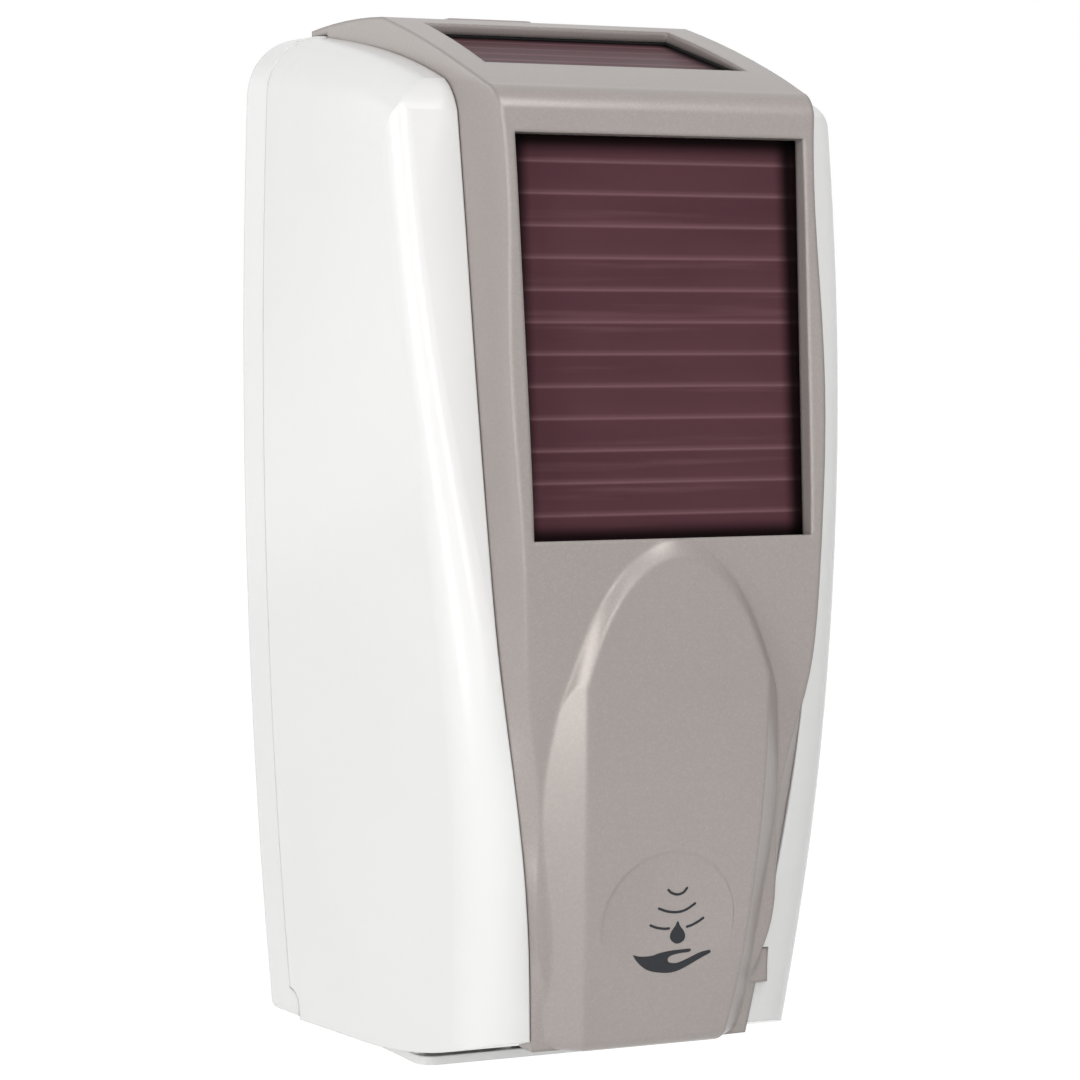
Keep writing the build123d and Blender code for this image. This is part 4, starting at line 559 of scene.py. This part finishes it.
class DISPENSER_OT_front_panel(bpy.types.Operator):
    """Dresses the front panel and the latch button in pearl grey"""

    bl_idname = "dispenser.front_panel"
    bl_label = "Front Panel"

    def execute(self, context):
        dress(abs_pearl_grey(context.scene.dispenser_colours.panel), "front_panel", "latch_button")
        return {"FINISHED"}


class DISPENSER_OT_solar_cells(bpy.types.Operator):
    """Dresses the two solar cells, their seals and their retainers"""

    bl_idname = "dispenser.solar_cells"
    bl_label = "Solar Cells"

    def execute(self, context):
        colours = context.scene.dispenser_colours
        sizes = context.scene.dispenser_sizes
        for side, low, high, axis in (
            ("front", CELL_LOW, CELL_HIGH, "Z"),
            ("top", TOP_CELL_LOW, TOP_CELL_HIGH, "Y"),
        ):
            cell = amorphous_cell(
                f"amorphous_cell_{side}", colours.cell, colours.cell_line, sizes, low, high, axis
            )
            dress(cell, f"{side}_solar_cell")
        # Sponge-free EPDM is matt and slightly bloomed
        rubber = moulded(
            "epdm_rubber", linear("#1A1A1B"), darker=0.7, patch=8, rough=0.78, uneven=0.06,
            grain=0.5, depth=0.02, edge=0.3, sockets={"IOR": 1.5},
        )
        dress(rubber, "front_cell_gasket", "top_cell_gasket")
        return {"FINISHED"}


class DISPENSER_OT_sign(bpy.types.Operator):
    """Prints the hand, the drop and the waves in the dish"""

    bl_idname = "dispenser.sign"
    bl_label = "Sign"

    def execute(self, context):
        sizes = context.scene.dispenser_sizes
        # Pad-printed ink is thin and satin, with a little mottle from the pad
        ink = moulded(
            "pad_printed_ink", context.scene.dispenser_colours.ink, darker=0.86, patch=1.2,
            rough=0.42, uneven=0.05, grain=0.6, depth=0.01, edge=0.1,
            sockets={"IOR": 1.5, "Specular IOR Level": 0.3},
        )
        steps = sizes.curve_steps
        half_wave = sizes.wave_width / MM / 2
        waves = [stroke_outline(smooth_line(wave, steps), half_wave) for wave in WAVES]
        for name, outlines in (
            ("sign_hand", [smooth_loop(HAND, steps)]),
            ("sign_drop", [smooth_loop(DROP, steps)]),
            ("sign_waves", waves),
        ):
            mesh = bmesh.new()
            for outline in outlines:
                add_film(mesh, outline, "front_panel", sizes.ink_thickness, sizes.ink_thickness)
            new_piece(name, mesh, "cover", ink)
        return {"FINISHED"}


class DISPENSER_OT_chassis(bpy.types.Operator):
    """Dresses the inner mouldings that carry the works"""

    bl_idname = "dispenser.chassis"
    bl_label = "Chassis"

    def execute(self, context):
        colours = context.scene.dispenser_colours
        # A spark-eroded tool leaves an even matt grain of about 0.4 mm
        grained = moulded(
            "abs_grained_grey", colours.chassis, darker=0.93, patch=50, rough=0.52, uneven=0.05,
            grain=0.4, depth=0.015, edge=0.4, sockets={"IOR": 1.53},
        )
        dress(
            grained, "chassis", "latch_guide", "latch_hook", "battery_box", "board_cover",
            "gear_case_base", "gear_case_cover",
        )
        # Black ABS from the same kind of tool shows its grain as a grey sheen
        black = moulded(
            "abs_grained_black", colours.retainer, darker=0.7, patch=30, rough=0.5, uneven=0.06,
            grain=0.4, depth=0.015, edge=0.3, sockets={"IOR": 1.53},
        )
        dress(
            black, "front_cell_retainer", "top_cell_retainer", "battery_lid", "dose_switch",
            "switch_body",
        )
        return {"FINISHED"}


class DISPENSER_OT_refill(bpy.types.Operator):
    """Dresses the refill bottle, its cap and the pump"""

    bl_idname = "dispenser.refill"
    bl_label = "Refill"

    def execute(self, context):
        colours, sizes = context.scene.dispenser_colours, context.scene.dispenser_sizes
        dress(natural_polyethylene(colours.soap, sizes.soap_level), "refill_bottle")
        # Unfilled polypropylene is milky and a little waxy
        milky = moulded(
            "polypropylene_milky", linear("#DCE0E2"), darker=0.95, patch=25, rough=0.34,
            uneven=0.04, grain=3, depth=0.01, edge=0.4,
            sockets={"IOR": 1.49, "Subsurface Weight": 0.2, "Subsurface Scale": 2 * MM},
        )
        dress(milky, "refill_cap", "pump_body", "pump_nozzle")
        return {"FINISHED"}


class DISPENSER_OT_drive(bpy.types.Operator):
    """Dresses the motor, the gears and the lifter"""

    bl_idname = "dispenser.drive"
    bl_label = "Drive"

    def execute(self, context):
        # Cut or moulded acetal is ivory, dense and slick
        acetal = moulded(
            "acetal_ivory", linear("#E3DDCB"), darker=0.94, patch=12, rough=0.36, uneven=0.04,
            grain=1.5, depth=0.01, edge=0.25,
            sockets={"IOR": 1.48, "Subsurface Weight": 0.1, "Subsurface Scale": 1 * MM},
        )
        dress(acetal, "output_gear", "middle_gear", "pump_lifter")
        # Hobbed brass keeps bright tool marks round its axis
        brass = worked_metal(
            "hobbed_brass", linear("#C9A65A"), darker=0.8, line=0.4, rough=0.26, uneven=0.06,
            stretch=(1, 0.1, 1), edge=0.08,
        )
        dress(brass, "motor_pinion")
        # A deep-drawn can is zinc plated, with lines drawn along it
        can = worked_metal(
            "drawn_steel_can", linear("#B4B5B8"), darker=0.85, line=1.2, rough=0.32, uneven=0.06,
            stretch=(1, 0.05, 1), edge=0.3,
        )
        dress(can, "motor")
        return {"FINISHED"}


class DISPENSER_OT_electronics(bpy.types.Operator):
    """Dresses the boards, what is soldered on them and the dry cells"""

    bl_idname = "dispenser.electronics"
    bl_label = "Electronics"

    def execute(self, context):
        colours = context.scene.dispenser_colours
        dress(circuit_laminate(colours.laminate), "control_board", "sensor_board")
        # Moulding compound on a chip is charcoal with a fine sandy skin
        epoxy = moulded(
            "moulding_compound", linear("#242427"), darker=0.8, patch=4, rough=0.6, uneven=0.05,
            grain=0.3, depth=0.02, edge=0.15,
        )
        dress(epoxy, "control_chip")
        # PET sleeve shrunk over an aluminium can is glossy and slightly rippled
        sleeve = moulded(
            "pet_sleeve_blue", linear("#1B2440"), darker=0.85, patch=6, rough=0.25, uneven=0.04,
            grain=2, depth=0.03, edge=0.3,
            sockets={"IOR": 1.57, "Coat Weight": 0.3, "Coat Roughness": 0.08},
        )
        dress(sleeve, "capacitors")
        # Nylon for connectors is off-white and satin
        nylon = moulded(
            "nylon_ivory", linear("#E4DECB"), darker=0.94, patch=8, rough=0.42, uneven=0.05,
            grain=0.6, depth=0.01, edge=0.2, sockets={"IOR": 1.53},
        )
        dress(nylon, "board_connector")
        # Infra-red epoxy looks nearly black, with a clear wet gloss
        resin = moulded(
            "infra_red_epoxy", linear("#1E1422"), darker=0.8, patch=3, rough=0.1, uneven=0.02,
            grain=2, depth=0.005, edge=0.2, sockets={"IOR": 1.55, "Transmission Weight": 0.2},
        )
        dress(resin, "ir_emitter", "ir_receiver")
        # Infra-red acrylic is a deep red that reads as black from outside
        window = moulded(
            "infra_red_acrylic", linear("#2A0F16"), darker=0.85, patch=6, rough=0.08,
            uneven=0.02, grain=6, depth=0.005, edge=0.2,
            sockets={"IOR": 1.49, "Transmission Weight": 0.25},
        )
        dress(window, "sensor_windows")
        dress(shrink_sleeve(colours.sleeve), "battery_cells")
        # Nickel-plated strip is rolled, so its lines run along it
        nickel = worked_metal(
            "nickel_strip", linear("#C4C1B8"), darker=0.86, line=0.6, rough=0.28, uneven=0.05,
            stretch=(0.1, 1, 1), edge=0.1,
        )
        dress(nickel, "battery_contacts")
        return {"FINISHED"}


class DISPENSER_OT_fasteners(bpy.types.Operator):
    """Dresses the screws, pins and springs"""

    bl_idname = "dispenser.fasteners"
    bl_label = "Fasteners"

    def execute(self, context):
        # Zinc plating on screws is bluish, with a faint mottle
        zinc = worked_metal(
            "zinc_plated_steel", linear("#B9BCC0"), darker=0.82, line=0.8, rough=0.32,
            uneven=0.08, stretch=(1, 1, 1), edge=0.12,
        )
        dress(
            zinc, "panel_screws", "front_cell_screws", "top_cell_screws", "chassis_screws",
            "gear_case_screws", "board_screws", "outlet_screws", "battery_screws",
        )
        # Ground pins are bright, with lines round them
        ground = worked_metal(
            "ground_steel", linear("#C6C8CB"), darker=0.9, line=0.5, rough=0.18, uneven=0.05,
            stretch=(0.05, 1, 1), edge=0.15,
        )
        dress(ground, "hinge_pins", "gear_arbors")
        # Patented spring wire is darker, drawn and lightly oiled
        wire = worked_metal(
            "spring_wire", linear("#8F9296"), darker=0.8, line=0.6, rough=0.3, uneven=0.06,
            stretch=(1, 1, 1), edge=0.05,
        )
        dress(wire, "latch_spring", "pump_spring")
        shortening_coil("latch_spring", "latch_press", wire)
        shortening_coil("pump_spring", "lifter_lift", wire)
        return {"FINISHED"}


class DISPENSER_OT_stage(bpy.types.Operator):
    """Adds the floor, the soft lights and the camera"""

    bl_idname = "dispenser.stage"
    bl_label = "Stage"

    def execute(self, context):
        scene = context.scene
        add_floor(scene.dispenser_sizes.floor_drop)
        add_world(scene)
        for lamp in LAMPS:
            add_light(*lamp)
        add_camera(scene)
        scene.view_settings.view_transform = "Standard"
        return {"FINISHED"}


def seen(tree):
    """One for a ray from the camera, a reflection or a view through glass, else zero."""
    path = add_node(tree, "ShaderNodeLightPath")
    straight = combine(
        tree, "MAXIMUM", path.outputs["Is Camera Ray"], path.outputs["Is Transmission Ray"]
    )
    return combine(tree, "MAXIMUM", straight, path.outputs["Is Glossy Ray"])


def add_floor(drop):
    """A wide pale floor well below the object, so that the open cover stays clear of it."""
    mesh = bmesh.new()
    bmesh.ops.create_grid(mesh, x_segments=8, y_segments=8, size=FLOOR_REACH)
    data = bpy.data.meshes.new("floor")
    mesh.to_mesh(data)
    mesh.free()
    floor = bpy.data.objects.new("floor", data)
    floor.location = (0, 0, -drop)
    bpy.context.scene.collection.objects.link(floor)
    material, tree, shader, place = new_material("painted_floor", {"Roughness": 0.9})
    patches = cloud(tree, place, 600)
    tint = ramp(tree, patches, [(0.3, linear("#ECECEC")), (0.7, linear("#F1F1F1"))])
    tree.links.new(tint, shader.inputs["Base Color"])
    # The floor shows white, and the part of its own shading that stays keeps the object's shadow
    glow = add_node(
        tree, "ShaderNodeEmission", inputs={"Color": grey(1), "Strength": FLOOR_GLOW}
    )
    share = combine(tree, "MULTIPLY", seen(tree), FLOOR_GLOW_SHARE)
    mixed = add_node(
        tree, "ShaderNodeMixShader",
        inputs={0: share, 1: shader.outputs["BSDF"], 2: glow.outputs["Emission"]},
    )
    output = next(node for node in tree.nodes if node.type == "OUTPUT_MATERIAL")
    tree.links.new(mixed.outputs["Shader"], output.inputs["Surface"])
    data.materials.append(material)


def add_world(scene):
    """A plain light surround: white to the camera, softer as a light."""
    world = bpy.data.worlds.new("studio")
    scene.world = world
    world.use_nodes = True
    tree = world.node_tree
    tree.nodes.clear()
    strength = add_node(
        tree, "ShaderNodeMapRange",
        inputs={"Value": seen(tree), "To Min": WORLD_LIGHT, "To Max": 1.0},
    )
    background = add_node(
        tree, "ShaderNodeBackground",
        inputs={"Color": (1, 1, 1, 1), "Strength": strength.outputs["Result"]},
    )
    add_node(tree, "ShaderNodeOutputWorld", inputs={"Surface": background.outputs["Background"]})


def add_light(name, place, sides, power):
    """A soft lamp of a width and a height, aimed at the object."""
    lamp = bpy.data.lights.new(name, "AREA")
    lamp.shape = "RECTANGLE"
    lamp.size, lamp.size_y = sides
    lamp.energy = power
    light = bpy.data.objects.new(name, lamp)
    light.location = place
    light.rotation_euler = (LAMP_AIM - Vector(place)).to_track_quat("-Z", "Y").to_euler()
    bpy.context.scene.collection.objects.link(light)


def add_camera(scene):
    """The camera of the photograph: front left, a little above the middle."""
    data = bpy.data.cameras.new("camera")
    data.sensor_width = CAMERA_SENSOR
    data.lens = CAMERA_LENS
    camera = bpy.data.objects.new("camera", data)
    yaw, pitch = math.radians(CAMERA_YAW), math.radians(CAMERA_PITCH)
    level = Vector((-math.sin(yaw), -math.cos(yaw), 0))
    away = level * math.cos(pitch) + Vector((0, 0, math.sin(pitch)))
    camera.location = CAMERA_TARGET + away * CAMERA_DISTANCE
    camera.rotation_euler = (-away).to_track_quat("-Z", "Y").to_euler()
    scene.collection.objects.link(camera)
    scene.camera = camera


OPERATORS = (
    DISPENSER_OT_stage,
    DISPENSER_OT_shell,
    DISPENSER_OT_front_panel,
    DISPENSER_OT_solar_cells,
    DISPENSER_OT_sign,
    DISPENSER_OT_chassis,
    DISPENSER_OT_refill,
    DISPENSER_OT_drive,
    DISPENSER_OT_electronics,
    DISPENSER_OT_fasteners,
)


class DISPENSER_PT_panel(bpy.types.Panel):
    """Lists the dispenser's sizes, colours and pieces"""

    bl_label = "Dispenser"
    bl_idname = "DISPENSER_PT_panel"
    bl_space_type = "VIEW_3D"
    bl_region_type = "UI"
    bl_category = "Dispenser"

    def draw(self, context):
        for group in (context.scene.dispenser_sizes, context.scene.dispenser_colours):
            for name in type(group).__annotations__:
                self.layout.prop(group, name)
        for operator in OPERATORS:
            self.layout.operator(operator.bl_idname)


CLASSES = (DispenserSizes, DispenserColours) + OPERATORS + (DISPENSER_PT_panel,)


def register():
    for item in CLASSES:
        bpy.utils.register_class(item)
    bpy.types.Scene.dispenser_sizes = PointerProperty(type=DispenserSizes)
    bpy.types.Scene.dispenser_colours = PointerProperty(type=DispenserColours)


def unregister():
    del bpy.types.Scene.dispenser_colours
    del bpy.types.Scene.dispenser_sizes
    for item in reversed(CLASSES):
        bpy.utils.unregister_class(item)


def main():
    register()
    for operator in OPERATORS:
        group, name = operator.bl_idname.split(".")
        getattr(getattr(bpy.ops, group), name)()


if __name__ == "__main__":
    main()
